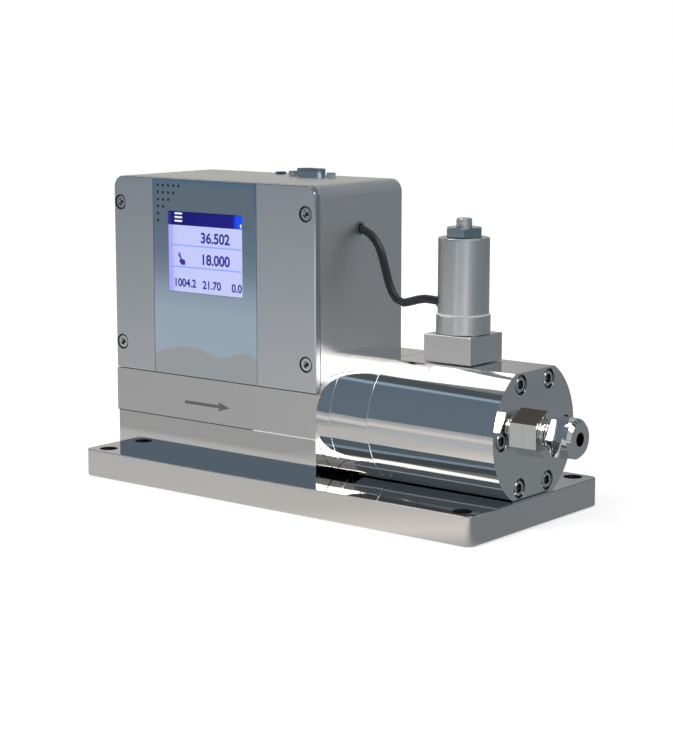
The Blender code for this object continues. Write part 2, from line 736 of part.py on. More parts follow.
def make_valve(mats):
    half = VALVE_SIDE / 2
    block_low = (VALVE_X - half, -half, FLAT_TOP + GAP)
    block_high = (VALVE_X + half, half, VALVE_BLOCK_TOP)
    block = box("valve_block", block_low, block_high, mats["valve"])
    bevel(block, 0.0003)
    collar_low = VALVE_BLOCK_TOP + GAP
    collar = [
        (0, collar_low),
        (VALVE_COLLAR_R, collar_low),
        (VALVE_COLLAR_R, COLLAR_TOP - 0.0005),
        (VALVE_COLLAR_R - 0.0005, COLLAR_TOP),
        (0, COLLAR_TOP),
    ]
    turned("valve_collar", collar, (VALVE_X, 0, 0), (0, 0, 1), mats["valve"], 48)
    low = COLLAR_TOP + GAP
    e = COIL_EDGE
    coil = [(0, low), (COIL_R - 0.0005, low), (COIL_R, low + 0.0005)]
    coil += [(COIL_R - e + r, COIL_TOP - e + t) for r, t in arc(0, 0, e, 0, 90, 3)]
    coil += [(0, COIL_TOP)]
    coil_housing = turned("coil_housing", coil, (VALVE_X, 0, 0), (0, 0, 1), mats["valve"], 48)
    seat_low, seat_high = (VALVE_X, 0, STEM_ROOT - GAP), (VALVE_X, 0, COIL_TOP + 0.01)
    boolean(coil_housing, rod("stem_seat_cut", STEM_R + GAP, seat_low, seat_high, None, 32))
    hole_end = (VALVE_X - COIL_R + 0.0040, 0, LEAD_LOW_Z)
    hole_start = (VALVE_X - COIL_R - 0.01, 0, LEAD_LOW_Z)
    boolean(coil_housing, rod("gland_seat_cut", GROMMET_R - 0.0004, hole_end, hole_start, None, 24))
    nut_low = COIL_TOP + GAP
    outline = shifted(polygon(6, COIL_NUT_AF, COIL_NUT_TURN), VALVE_X, 0)
    nut = prism("coil_nut", outline, nut_low, COIL_NUT_TOP, mats["valve"])
    wide = COIL_NUT_AF / 2 / math.cos(math.pi / 6)
    cone = [
        (0, nut_low - 0.001),
        (wide + 0.001, nut_low - 0.001),
        (wide + 0.001, COIL_NUT_TOP - 0.0012),
        (COIL_NUT_AF / 2 - 0.0006, COIL_NUT_TOP + 0.0001),
        (0, COIL_NUT_TOP + 0.0001),
    ]
    boolean(nut, turned("nut_chamfer_keep", cone, (VALVE_X, 0, 0), (0, 0, 1), None, 36), "INTERSECT")
    bore_low, bore_high = (VALVE_X, 0, nut_low - 0.01), (VALVE_X, 0, COIL_NUT_TOP + 0.01)
    boolean(nut, rod("nut_bore_cut", STEM_R + GAP, bore_low, bore_high, None, 32))
    stem = [
        (0, STEM_ROOT),
        (STEM_R, STEM_ROOT),
        (STEM_R, STEM_TOP - 0.0006),
        (STEM_R - 0.0006, STEM_TOP),
        (0, STEM_TOP),
    ]
    turned("valve_stem", stem, (VALVE_X, 0, 0), (0, 0, 1), mats["valve"], 32)


def smooth_route(points, step):
    """Points at even steps along a Catmull-Rom curve through a route."""
    points = [Vector(p) for p in points]
    ends = [points[0] * 2 - points[1]] + points + [points[-1] * 2 - points[-2]]
    dense = []
    for i in range(1, len(ends) - 2):
        a, b, c, d = ends[i - 1:i + 3]
        for k in range(24):
            t = k / 24
            square = (2 * a - 5 * b + 4 * c - d) * t ** 2
            cube = (3 * b - a - 3 * c + d) * t ** 3
            dense.append(0.5 * (2 * b + (c - a) * t + square + cube))
    dense.append(points[-1])
    length = sum((q - p).length for p, q in zip(dense, dense[1:]))
    count = max(2, round(length / step))
    target = length / count
    route = [dense[0]]
    walked = 0.0
    for p, q in zip(dense, dense[1:]):
        walked += (q - p).length
        if walked >= target * len(route) and len(route) < count:
            route.append(q)
    return route + [dense[-1]]


def tube(name, route, r, mat, resolution=3):
    """Curve object swept with a round section and closed at both ends."""
    curve = bpy.data.curves.new(name, "CURVE")
    curve.dimensions = "3D"
    curve.bevel_depth = r
    curve.bevel_resolution = resolution
    curve.use_fill_caps = True
    spline = curve.splines.new("POLY")
    spline.points.add(len(route) - 1)
    for point, place in zip(spline.points, route):
        point.co = (place.x, place.y, place.z, 1.0)
    spline.use_smooth = True
    curve.materials.append(mat)
    obj = bpy.data.objects.new(name, curve)
    bpy.context.collection.objects.link(obj)
    return obj


def lead_points():
    """Route of the valve lead: out of the box's side, down in an S and level into the coil."""
    coil_side = VALVE_X - COIL_R
    across = coil_side - BOX_RIGHT
    drop = LEAD_HIGH_Z - LEAD_LOW_Z
    route = [(BOX_RIGHT - LEAD_TUCK * 2, 0, LEAD_HIGH_Z), (BOX_RIGHT, 0, LEAD_HIGH_Z)]
    for share_x, share_z in LEAD_BENDS:
        route.append((BOX_RIGHT + across * share_x, 0, LEAD_HIGH_Z - drop * share_z))
    route.append((coil_side - LEAD_TUCK, 0, LEAD_LOW_Z))
    route.append((coil_side + LEAD_TUCK, 0, LEAD_LOW_Z))
    return route


def make_lead(mats):
    tube("valve_lead", smooth_route(lead_points(), LEAD_STEP), LEAD_R, mats["rubber"], 2)
    inner = LEAD_R + GAP
    grommet = [
        (inner, -0.0040),
        (GROMMET_R - 0.0004 - GAP, -0.0040),
        (GROMMET_R - 0.0004 - GAP, GAP),
        (GROMMET_R, GAP),
        (GROMMET_R, GROMMET_PROUD),
        (inner, GROMMET_PROUD),
    ]
    turned("lead_grommet", grommet, (BOX_RIGHT, 0, LEAD_HIGH_Z), (1, 0, 0), mats["rubber"], 24)
    gland = [
        (inner, -0.0037),
        (GROMMET_R - 0.0004 - GAP, -0.0037),
        (GROMMET_R - 0.0004 - GAP, 0.0007),
        (GROMMET_R, 0.0007),
        (GROMMET_R, 0.0016),
        (inner, 0.0016),
    ]
    turned("coil_gland", gland, (VALVE_X - COIL_R, 0, LEAD_LOW_Z), (-1, 0, 0), mats["rubber"], 24)


def make_sensor(mats):
    """Measuring tube with its drive coil and pick-offs, inside the box."""
    floor = CAVITY_FLOOR + GAP
    top = floor + MANIFOLD_H
    manifold = box(
        "tube_manifold",
        (MANIFOLD_LEFT, TUBE_Y - MANIFOLD_HALF_DEPTH, floor),
        (MANIFOLD_RIGHT, TUBE_Y + MANIFOLD_HALF_DEPTH, top),
        mats["polished"],
    )
    for x in (TUBE_LEFT, TUBE_RIGHT):
        socket_low, socket_high = (x, TUBE_Y, floor + 0.002), (x, TUBE_Y, top + 0.01)
        boolean(manifold, rod("tube_socket_cut", TUBE_R + GAP, socket_low, socket_high, None, 16))
    start = floor + 0.003
    legs = [(TUBE_LEFT, start), (TUBE_LEFT, (start + TUBE_TOP) / 2), (TUBE_LEFT, TUBE_TOP - TUBE_BEND_R)]
    bend = TUBE_BEND_R
    left_turn = arc(TUBE_LEFT + bend, TUBE_TOP - bend, bend, 180, 90, 8)
    right_turn = arc(TUBE_RIGHT - bend, TUBE_TOP - bend, bend, 90, 0, 8)
    outline = legs[:2] + left_turn + right_turn + [(TUBE_RIGHT, (start + TUBE_TOP) / 2), (TUBE_RIGHT, start)]
    tube("flow_tube", [Vector((x, TUBE_Y, z)) for x, z in outline], TUBE_R, mats["polished"], 2)
    middle = (TUBE_LEFT + TUBE_RIGHT) / 2
    back = BRACKET_FRONT + BRACKET_THICK
    over = BRACKET_OVER
    outline = rounded_rect(TUBE_LEFT - over, floor, TUBE_RIGHT + over, TUBE_TOP + over, 0.003, 3)
    prism("sensor_bracket", outline, BRACKET_FRONT, back, mats["cover"], "Y")
    near = TUBE_Y + TUBE_R + GAP
    far = BRACKET_FRONT - GAP
    rod("drive_coil", DRIVE_COIL_R, (middle, near, TUBE_TOP), (middle, far, TUBE_TOP), mats["winding"], 24)
    height = TUBE_TOP - TUBE_BEND_R - PICKOFF_DROP
    for name, x in (("pickoff_left", TUBE_LEFT), ("pickoff_right", TUBE_RIGHT)):
        rod(name, PICKOFF_R, (x, near, height), (x, far, height), mats["winding"], 24)


def main():
    clear_scene()
    mats = finishes()
    make_base_plate(mats)
    make_plate_bolts(mats)
    make_base_block(mats)
    make_housing(mats)
    make_cover(mats)
    make_cover_screws(mats)
    make_gasket(mats)
    make_label(mats)
    make_display(mats)
    make_electronics(mats)
    make_connector(mats)
    make_body_sections(mats)
    make_end_screws(mats)
    make_fitting("outlet_fitting", END_X, 1, mats)
    make_fitting("inlet_fitting", INLET_X, -1, mats)
    make_inlet_spacer(mats)
    make_valve(mats)
    make_lead(mats)
    make_sensor(mats)


main()
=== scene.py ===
# %% [markdown]
# # A coriolis mass flow meter, lit and finished in Blender
#
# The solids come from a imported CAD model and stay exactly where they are. This lesson gives them a studio,
# real metal finishes, a printed label, a lit display and the small parts that CAD leaves out: beads in the
# seams, connector pins, fitting threads and the print itself.

# %% Load the frame
import math

import bmesh
import bpy
from mathutils import Matrix, Vector


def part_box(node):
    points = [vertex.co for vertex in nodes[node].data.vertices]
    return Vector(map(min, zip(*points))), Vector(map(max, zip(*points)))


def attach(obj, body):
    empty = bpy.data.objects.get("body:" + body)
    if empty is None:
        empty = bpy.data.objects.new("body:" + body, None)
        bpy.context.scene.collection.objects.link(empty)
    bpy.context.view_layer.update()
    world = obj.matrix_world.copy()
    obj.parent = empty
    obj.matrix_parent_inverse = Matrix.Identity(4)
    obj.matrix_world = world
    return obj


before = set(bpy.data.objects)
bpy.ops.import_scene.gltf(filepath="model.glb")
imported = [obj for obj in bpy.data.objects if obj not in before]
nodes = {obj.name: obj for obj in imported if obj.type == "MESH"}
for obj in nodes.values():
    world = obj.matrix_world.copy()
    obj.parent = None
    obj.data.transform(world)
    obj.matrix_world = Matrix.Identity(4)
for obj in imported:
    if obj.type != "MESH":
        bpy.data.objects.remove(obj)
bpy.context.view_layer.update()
print("loaded", len(nodes), "CAD nodes")

# %% [markdown]
# ## Camera
#
# A product photographer stands back and uses a long lens, so that parallel edges stay nearly parallel.
# The place and the lens were worked out from the plate's corners and the box's edges in the photograph.

# %% Camera
PHOTO_WIDTH = 673
PHOTO_HEIGHT = 733
CAMERA_PLACE = Vector((0.60605, -0.75064, 0.21875))
CAMERA_AIM = Vector((0.00243, 0.0, 0.06293))

lens = bpy.data.cameras.new("camera")
lens.lens = 104.56
lens.sensor_width = 36.0
lens.sensor_fit = "HORIZONTAL"
lens.clip_start = 0.01
lens.clip_end = 50.0
camera = bpy.data.objects.new("camera", lens)
bpy.context.scene.collection.objects.link(camera)
camera.location = CAMERA_PLACE
camera.rotation_euler = (CAMERA_AIM - CAMERA_PLACE).to_track_quat("-Z", "Y").to_euler()
bpy.context.scene.camera = camera
bpy.context.scene.view_settings.view_transform = "Standard"
distance = (CAMERA_PLACE - CAMERA_AIM).length
print("camera", round(distance, 3), "m away for a picture of", PHOTO_WIDTH, "by", PHOTO_HEIGHT)

# %% [markdown]
# ## Helpers for node trees
#
# Every material below is a small tree of nodes. One function turns an sRGB hex colour into the linear
# values that the renderer works in, and one function adds a node with its settings and its links.

# %% Colour and node helpers
def linear(hex_colour):
    """Turns an sRGB hex colour into linear red, green, blue and alpha."""
    channels = [int(hex_colour[i:i + 2], 16) / 255 for i in (1, 3, 5)]
    return [c / 12.92 if c <= 0.04045 else ((c + 0.055) / 1.055) ** 2.4 for c in channels] + [1.0]


def add_node(tree, kind, settings=None, links=None):
    """Adds a node. A setting is an attribute, an input's value or a ramp's stops. A link feeds an input."""
    node = tree.nodes.new(kind)
    for name, value in (settings or {}).items():
        if name == "stops":
            ramp = node.color_ramp
            while len(ramp.elements) < len(value):
                ramp.elements.new(1.0)
            for element, (place, colour) in zip(ramp.elements, value):
                element.position = place
                element.color = linear(colour)
        elif isinstance(name, str) and hasattr(node, name):
            setattr(node, name, value)
        else:
            node.inputs[name].default_value = value
    for name, source in (links or {}).items():
        tree.links.new(source, node.inputs[name])
    return node


def place_parts(tree, kind):
    """X, Y and Z of a place or a direction: Object, Normal or Generated."""
    place = add_node(tree, "ShaderNodeTexCoord")
    return add_node(tree, "ShaderNodeSeparateXYZ", links={0: place.outputs[kind]}).outputs


def finish(name, colour, metallic, roughness, **extra):
    """Starts a material, with what is the same all over set on its own shader."""
    material = bpy.data.materials.new(name)
    material.use_nodes = True
    tree = material.node_tree
    shader = tree.nodes["Principled BSDF"]
    shader.inputs["Base Color"].default_value = linear(colour)
    shader.inputs["Metallic"].default_value = metallic
    shader.inputs["Roughness"].default_value = roughness
    for socket, value in extra.items():
        shader.inputs[socket.replace("_", " ")].default_value = value
    return material, tree, shader


print("mid grey in linear light:", round(linear("#808080")[0], 3))

# %% [markdown]
# ## Studio
#
# The picture has a pure white ground with a thin shadow under the plate, yet its metal mirrors a grey room:
# dark blue-grey panels to the front and left, a white strip high on the left, a softbox high on the right,
# and a pale grey table. So the world gives the camera plain white, gives matt surfaces one plain level, and
# shows glossy rays the room. The room is drawn by direction, so every view of the object sees the same one.

# %% Room by direction
# Steel gives back about this share of what it mirrors, so the room is written as it looks in the steel
STEEL_SHINE = 0.80
# Level of the world on matt surfaces, where 1 is white
PLAIN_LEVEL = 0.72

# Directions as shares of a full turn about +Z, measured from the front (-Y) towards the left (-X)
ROOM_LOW = [
    (0.000, "#69747E"), (0.130, "#5B6A77"), (0.290, "#5B6A77"), (0.320, "#ACAAA6"),
    (0.385, "#ACAAA6"), (0.397, "#AAA9A5"), (0.405, "#A1A09E"), (0.412, "#84888B"),
    (0.475, "#7C8084"), (0.500, "#5A6470"), (0.570, "#5A6470"), (0.600, "#7B8084"),
    (0.720, "#84898D"), (0.870, "#B4B8BC"), (1.000, "#69747E"),
]
ROOM_HIGH = [
    (0.000, "#8D9399"), (0.184, "#7A8084"), (0.330, "#B8BCBE"), (0.640, "#8A8C8C"),
    (0.660, "#504C48"), (0.712, "#504C48"), (0.722, "#C8CACC"), (0.760, "#C8CACC"),
    (0.790, "#56616C"), (0.850, "#56616C"), (0.880, "#B0B4B8"), (1.000, "#8D9399"),
]
# Heights above the horizon, in degrees, where the left wall's pale rail, dark gap and lights begin
RAIL_LOW = 41.0
RAIL_COLOUR = "#8CA0B4"
GAP_LOW = 44.0
GAP_COLOUR = "#4A5154"
LIGHTS_LOW = 50.0
LIGHTS_TURN = (0.188, 0.322)
LIGHTS_SHINE = 1.9
SOFTBOX_TURN = (0.722, 0.889)
SOFTBOX_HEIGHT = (34.5, 65.0)
SOFTBOX_SHINE = 7.0
# A black flag hangs before the softbox, so that the fitting's lower flats stay dark
FLAG_TURN = (0.790, 0.850)
FLAG_HEIGHT = (50.0, 60.0)
print("room drawn at", len(ROOM_LOW), "low and", len(ROOM_HIGH), "high places")


# %% Helpers for directions
def turn_share(tree, x, y):
    """Share of a full turn from the front towards the left, for a direction or a place on the floor."""
    angle = add_node(tree, "ShaderNodeMath", {"operation": "ARCTAN2"}, {0: x, 1: y})
    # The angle is counted from the back, so half a turn is added
    settings = {"operation": "MULTIPLY_ADD", 1: 1.0 / math.tau, 2: 0.5}
    turn = add_node(tree, "ShaderNodeMath", settings, {0: angle.outputs[0]})
    return add_node(tree, "ShaderNodeMath", {"operation": "FRACT"}, {0: turn.outputs[0]}).outputs[0]


def window(tree, value, low, high, soft):
    """1 between low and high, 0 outside, with soft ends."""
    up = add_node(tree, "ShaderNodeMapRange", {"From Min": low, "From Max": low + soft}, {"Value": value})
    falling = {"From Min": high, "From Max": high - soft}
    down = add_node(tree, "ShaderNodeMapRange", falling, {"Value": value})
    both = {0: up.outputs[0], 1: down.outputs[0]}
    return add_node(tree, "ShaderNodeMath", {"operation": "MULTIPLY"}, both).outputs[0]


def lay_over(tree, base, layers):
    """Lays colours over a base. Each takes over as its value goes from low to high."""
    for value, low, high, colour in layers:
        share = add_node(tree, "ShaderNodeMapRange", {"From Min": low, "From Max": high}, {"Value": value})
        settings = {"data_type": "RGBA"}
        links = {"Factor": share.outputs[0], "A": base}
        if isinstance(colour, str):
            settings["B"] = linear(colour)
        else:
            links["B"] = colour
        base = add_node(tree, "ShaderNodeMix", settings, links).outputs["Result"]
    return base


print("helpers for directions ready")


# %% Walls and lights of the room
def room_walls(tree, share, height):
    """Colour of the room by direction: low walls, a pale rail, a dark gap and the upper walls."""
    low = add_node(tree, "ShaderNodeValToRGB", {"stops": ROOM_LOW}, {0: share})
    high = add_node(tree, "ShaderNodeValToRGB", {"stops": ROOM_HIGH}, {0: share})
    layers = [
        (height, RAIL_LOW, RAIL_LOW + 1.0, RAIL_COLOUR),
        (height, GAP_LOW, GAP_LOW + 0.5, GAP_COLOUR),
        (height, LIGHTS_LOW, LIGHTS_LOW + 1.0, high.outputs[0]),
    ]
    return lay_over(tree, low.outputs[0], layers)


def softbox_shape(tree, share, height):
    """1 where the softbox is seen and the flag before it isn't."""
    in_turn = window(tree, share, *SOFTBOX_TURN, 0.01)
    in_height = window(tree, height, *SOFTBOX_HEIGHT, 3.0)
    box = add_node(tree, "ShaderNodeMath", {"operation": "MULTIPLY"}, {0: in_turn, 1: in_height})
    flag_turn = window(tree, share, *FLAG_TURN, 0.01)
    flag_height = window(tree, height, *FLAG_HEIGHT, 2.0)
    flag = add_node(tree, "ShaderNodeMath", {"operation": "MULTIPLY"}, {0: flag_turn, 1: flag_height})
    settings = {"operation": "SUBTRACT", "use_clamp": True}
    links = {0: box.outputs[0], 1: flag.outputs[0]}
    return add_node(tree, "ShaderNodeMath", settings, links).outputs[0]


def strip_shape(tree, share, height):
    """1 where the strip of lights high on the left is seen."""
    in_turn = window(tree, share, *LIGHTS_TURN, 0.004)
    settings = {"From Min": LIGHTS_LOW, "From Max": LIGHTS_LOW + 1.0}
    above = add_node(tree, "ShaderNodeMapRange", settings, {"Value": height})
    links = {0: in_turn, 1: above.outputs[0]}
    return add_node(tree, "ShaderNodeMath", {"operation": "MULTIPLY"}, links).outputs[0]


def hang_light(tree, behind, shape, shine):
    """Hangs a white light of a shape before what is behind it."""
    light = add_node(tree, "ShaderNodeBackground", {"Color": linear("#FFFFFF"), "Strength": shine})
    links = {0: shape, 1: behind, 2: light.outputs[0]}
    return add_node(tree, "ShaderNodeMixShader", links=links).outputs[0]


print("softbox", SOFTBOX_HEIGHT[1] - SOFTBOX_HEIGHT[0], "degrees high")


# %% World
def make_world():
    world = bpy.data.worlds.new("studio")
    bpy.context.scene.world = world
    world.use_nodes = True
    tree = world.node_tree
    tree.nodes.clear()
    direction = place_parts(tree, "Generated")
    share = turn_share(tree, direction["X"], direction["Y"])
    rise = add_node(tree, "ShaderNodeMath", {"operation": "ARCSINE"}, {0: direction["Z"]})
    height = add_node(tree, "ShaderNodeMath", {"operation": "DEGREES"}, {0: rise.outputs[0]}).outputs[0]
    walls = {"Color": room_walls(tree, share, height)}
    shown = add_node(tree, "ShaderNodeBackground", {"Strength": 1.0 / STEEL_SHINE}, walls).outputs[0]
    shown = hang_light(tree, shown, softbox_shape(tree, share, height), SOFTBOX_SHINE)
    shown = hang_light(tree, shown, strip_shape(tree, share, height), LIGHTS_SHINE)
    plain = add_node(tree, "ShaderNodeBackground", {"Color": linear("#FFFFFF"), "Strength": PLAIN_LEVEL})
    path = add_node(tree, "ShaderNodeLightPath")
    links = {0: path.outputs["Is Glossy Ray"], 1: path.outputs["Is Transmission Ray"]}
    mirror = add_node(tree, "ShaderNodeMath", {"operation": "MAXIMUM"}, links)
    links = {0: mirror.outputs[0], 1: plain.outputs[0], 2: shown}
    lit = add_node(tree, "ShaderNodeMixShader", links=links)
    # The camera sees pure white, which is a strength of 1
    seen = hang_light(tree, lit.outputs[0], path.outputs["Is Camera Ray"], 1.0)
    add_node(tree, "ShaderNodeOutputWorld", links={"Surface": seen})


make_world()
print("world set")

# %% [markdown]
# ## Floor and lamp
#
# The table is white to the camera. Part of that white is a plain glow and part is real reflected light, so
# the object's shadow stays. In a mirror the table is grey: lighter in front of the meter and darker behind
# it on the right, as the polished steel in the picture shows.

# %% Greys of the table
# Near the meter, by metres along a line from the front left to the back right
NEAR_FLOOR = [
    (0.00, "#A6A7A8"), (0.30, "#B2B2B1"), (0.44, "#B6B5B3"), (0.50, "#D2CDC9"), (0.53, "#B0AFAE"),
    (0.56, "#72777B"), (0.70, "#757A7E"), (1.00, "#70757A"),
]
NEAR_SPAN = 0.4
NEAR_LINE = (0.626, 0.780)
# In front of the plate, by the share of half a metre towards the front
FRONT_FLOOR = [
    (0.24, "#ACAFB2"), (0.38, "#ABADB0"), (0.46, "#CBC6C2"), (0.56, "#CBC6C2"), (0.70, "#B8B6B6"),
    (0.90, "#ACADB0"),
]
FRONT_SPAN = 0.5
FRONT_START = (-0.112, -0.122)
FRONT_RIGHT_GREY = "#BBBEC3"
FRONT_LEFT_GREY = "#99999A"
# Further out, by share of a turn as in the room
FAR_FLOOR = [
    (0.000, "#A6A7A8"), (0.088, "#A0A3A6"), (0.150, "#989CA0"), (0.250, "#8A9096"),
    (0.340, "#6A757E"), (0.500, "#787D81"), (0.610, "#72777B"), (0.750, "#787D81"),
    (0.842, "#A6A7A8"), (0.850, "#F0F2F4"), (0.868, "#F0F2F4"), (0.872, "#C4C7CA"),
    (0.930, "#B2B5B8"), (0.963, "#ACAFB2"), (0.966, "#E0E2E4"), (0.992, "#E0E2E4"),
    (0.995, "#A6A7A8"),
]
TABLE_REACH = 0.50
TABLE_END = 1.3
TABLE_END_GREY = "#5E6B74"
# Share of the table's white that is its own glow
TABLE_GLOW = 0.50
print("table mirrored in detail to", TABLE_REACH, "m")


# %% Table as the steel mirrors it
def front_of_table(tree, x, y):
    """Grey in front of the plate: stripes along the plate, with a paler right and a darker left corner."""
    forward = add_node(tree, "ShaderNodeMapRange", {"From Min": 0.0, "From Max": -FRONT_SPAN}, {"Value": y})
    stripes = add_node(tree, "ShaderNodeValToRGB", {"stops": FRONT_FLOOR}, {0: forward.outputs[0]})
    left = add_node(tree, "ShaderNodeMapRange", {"From Min": -0.04, "From Max": -0.08}, {"Value": x})
    back = add_node(tree, "ShaderNodeMapRange", {"From Min": -0.20, "From Max": -0.19}, {"Value": y})
    both = {0: left.outputs[0], 1: back.outputs[0]}
    corner = add_node(tree, "ShaderNodeMath", {"operation": "MULTIPLY"}, both)
    layers = [(x, 0.10, 0.16, FRONT_RIGHT_GREY), (corner.outputs[0], 0.0, 1.0, FRONT_LEFT_GREY)]
    return lay_over(tree, stripes.outputs[0], layers)


def mirrored_table(tree):
    """Grey of the table by place: stripes near the meter, and bands by direction further out."""
    place = add_node(tree, "ShaderNodeTexCoord").outputs["Object"]
    split = add_node(tree, "ShaderNodeSeparateXYZ", links={0: place})
    x = split.outputs["X"]
    y = split.outputs["Y"]
    across = add_node(tree, "ShaderNodeMath", {"operation": "MULTIPLY", 1: NEAR_LINE[0]}, {0: x})
    settings = {"operation": "MULTIPLY_ADD", 1: NEAR_LINE[1]}
    along = add_node(tree, "ShaderNodeMath", settings, {0: y, 2: across.outputs[0]})
    settings = {"From Min": -NEAR_SPAN, "From Max": NEAR_SPAN}
    share = add_node(tree, "ShaderNodeMapRange", settings, {"Value": along.outputs[0]})
    near = add_node(tree, "ShaderNodeValToRGB", {"stops": NEAR_FLOOR}, {0: share.outputs[0]})
    far = add_node(tree, "ShaderNodeValToRGB", {"stops": FAR_FLOOR}, {0: turn_share(tree, x, y)})
    length = add_node(tree, "ShaderNodeVectorMath", {"operation": "LENGTH"}, {0: place})
    away = length.outputs["Value"]
    layers = [
        (y, *FRONT_START, front_of_table(tree, x, y)),
        (away, TABLE_REACH, TABLE_REACH + 0.03, far.outputs[0]),
        (away, TABLE_END, TABLE_END + 0.3, TABLE_END_GREY),
    ]
    return lay_over(tree, near.outputs[0], layers)


print("table ends", TABLE_END, "m away in a mirror")


# %% Floor and lamp
def make_floor():
    bm = bmesh.new()
    bmesh.ops.create_grid(bm, x_segments=2, y_segments=2, size=6.0)
    mesh = bpy.data.meshes.new("floor")
    bm.to_mesh(mesh)
    bm.free()
    floor = bpy.data.objects.new("floor", mesh)
    floor.location = (0.0, 0.0, -0.0004)
    bpy.context.scene.collection.objects.link(floor)
    material = bpy.data.materials.new("white_table")
    material.use_nodes = True
    tree = material.node_tree
    tree.nodes.clear()
    grey = {"Color": mirrored_table(tree)}
    mirrored = add_node(tree, "ShaderNodeEmission", {"Strength": 1.0 / STEEL_SHINE}, grey)
    paint = add_node(tree, "ShaderNodeBsdfDiffuse", {"Color": linear("#D8D8D8")})
    glow = add_node(tree, "ShaderNodeEmission", {"Color": linear("#FFFFFF"), "Strength": TABLE_GLOW})
    matt = add_node(tree, "ShaderNodeAddShader", links={0: paint.outputs[0], 1: glow.outputs[0]})
    path = add_node(tree, "ShaderNodeLightPath")
    links = {0: path.outputs["Is Camera Ray"], 1: paint.outputs[0], 2: matt.outputs[0]}
    seen = add_node(tree, "ShaderNodeMixShader", links=links)
    links = {0: path.outputs["Is Glossy Ray"], 1: seen.outputs[0], 2: mirrored.outputs[0]}
    surface = add_node(tree, "ShaderNodeMixShader", links=links)
    add_node(tree, "ShaderNodeOutputMaterial", links={"Surface": surface.outputs[0]})
    mesh.materials.append(material)


make_floor()
LAMP_PLACE = Vector((-0.5, -1.3, 1.6))
LAMP_AIM = Vector((0.0, 0.0, 0.08))
lamp_data = bpy.data.lights.new("key_lamp", "AREA")
lamp_data.shape = "DISK"
lamp_data.size = 1.0
lamp_data.energy = 22.0
lamp = bpy.data.objects.new("key_lamp", lamp_data)
lamp.location = LAMP_PLACE
lamp.rotation_euler = (LAMP_AIM - LAMP_PLACE).to_track_quat("-Z", "Y").to_euler()
lamp.visible_glossy = False
bpy.context.scene.collection.objects.link(lamp)
print("floor and one soft lamp")

# %% [markdown]
# ## Smooth curved faces
#
# The CAD faces are flat triangles. A small geometry tree on each node joins their corners again and shades
# across every edge that turns by less than a set angle, so cylinders look round and chamfers stay crisp.
# It moves nothing: it only changes how the surface normals are read. The cover has its own, smaller angle,
# so that its bevel keeps a bright edge.

# %% Smooth shading
MERGE_WITHIN = 0.000002


def make_smoothing(name, below):
    """Geometry tree that shades smooth across edges that turn by less than below, in degrees."""
    tree = bpy.data.node_groups.new(name, "GeometryNodeTree")
    tree.interface.new_socket("Geometry", in_out="INPUT", socket_type="NodeSocketGeometry")
    tree.interface.new_socket("Geometry", in_out="OUTPUT", socket_type="NodeSocketGeometry")
    start = add_node(tree, "NodeGroupInput")
    flat = {"Name": "custom_normal"}
    bare = add_node(tree, "GeometryNodeRemoveAttribute", flat, {"Geometry": start.outputs[0]})
    near = {"Distance": MERGE_WITHIN}
    joined = add_node(tree, "GeometryNodeMergeByDistance", near, {"Geometry": bare.outputs[0]})
    settings = {"domain": "FACE", "Shade Smooth": True}
    faces = add_node(tree, "GeometryNodeSetShadeSmooth", settings, {"Geometry": joined.outputs[0]})
    turn = add_node(tree, "GeometryNodeInputMeshEdgeAngle")
    settings = {"operation": "GREATER_THAN", "B": math.radians(below)}
    crisp = add_node(tree, "FunctionNodeCompare", settings, {"A": turn.outputs[0]})
    edges = add_node(
        tree,
        "GeometryNodeSetShadeSmooth",
        {"domain": "EDGE", "Shade Smooth": False},
        {"Geometry": faces.outputs[0], "Selection": crisp.outputs[0]},
    )
    add_node(tree, "NodeGroupOutput", links={0: edges.outputs[0]})
    return tree


smoothing = make_smoothing("smooth_round_faces", 24)
crisp_smoothing = make_smoothing("smooth_with_crisp_bevels", 20)
for name, node in nodes.items():
    modifier = node.modifiers.new("smooth_round_faces", "NODES")
    modifier.node_group = crisp_smoothing if name == "front_cover" else smoothing
    flats = node.modifiers.new("keep_flats_flat", "WEIGHTED_NORMAL")
    flats.keep_sharp = True
    flats.weight = 100
print("smoothed", len(nodes), "nodes")

# %% [markdown]
# ## Metal finishes
#
# Nearly all of the meter is metal, and its finishes differ only in how the surface was made. Each material
# starts from that: turned and polished steel, ground plate, bead-blasted casting, satin anodised cover.
# Noise gives the grain, and its scale comes from the real grain size in millimetres.

# %% Grain helper
# Noise stays mostly between these two values
NOISE_SPAN = {"From Min": 0.3, "From Max": 0.7}


def grain(tree, size_mm, stretch, detail=3.0):
    """Noise whose cells are size_mm across, stretched by a factor along each axis of the object."""
    place = add_node(tree, "ShaderNodeTexCoord")
    scale = {"Scale": [1000.0 / size_mm / s for s in stretch]}
    shaped = add_node(tree, "ShaderNodeMapping", scale, {"Vector": place.outputs["Object"]})
    settings = {"Scale": 1.0, "Detail": detail}
    return add_node(tree, "ShaderNodeTexNoise", settings, {"Vector": shaped.outputs[0]})


def bumped(tree, shader, source, height_mm, strength):
    """Feeds a texture to the shader's normal as a relief of height_mm."""
    settings = {"Strength": strength, "Distance": height_mm / 1000.0}
    relief = add_node(tree, "ShaderNodeBump", settings, {"Height": source})
    tree.links.new(relief.outputs[0], shader.inputs["Normal"])
    return relief


def varied(tree, shader, socket, source, low, high):
    """Lets a texture move a shader's value between low and high."""
    settings = {**NOISE_SPAN, "To Min": low, "To Max": high}
    span = add_node(tree, "ShaderNodeMapRange", settings, {"Value": source})
    tree.links.new(span.outputs[0], shader.inputs[socket])


print("noise mostly from", *NOISE_SPAN.values())


# %% Steel body and plate
# Where the box's right wall ends and its turned stub begins
BOX_RIGHT = 0.0170


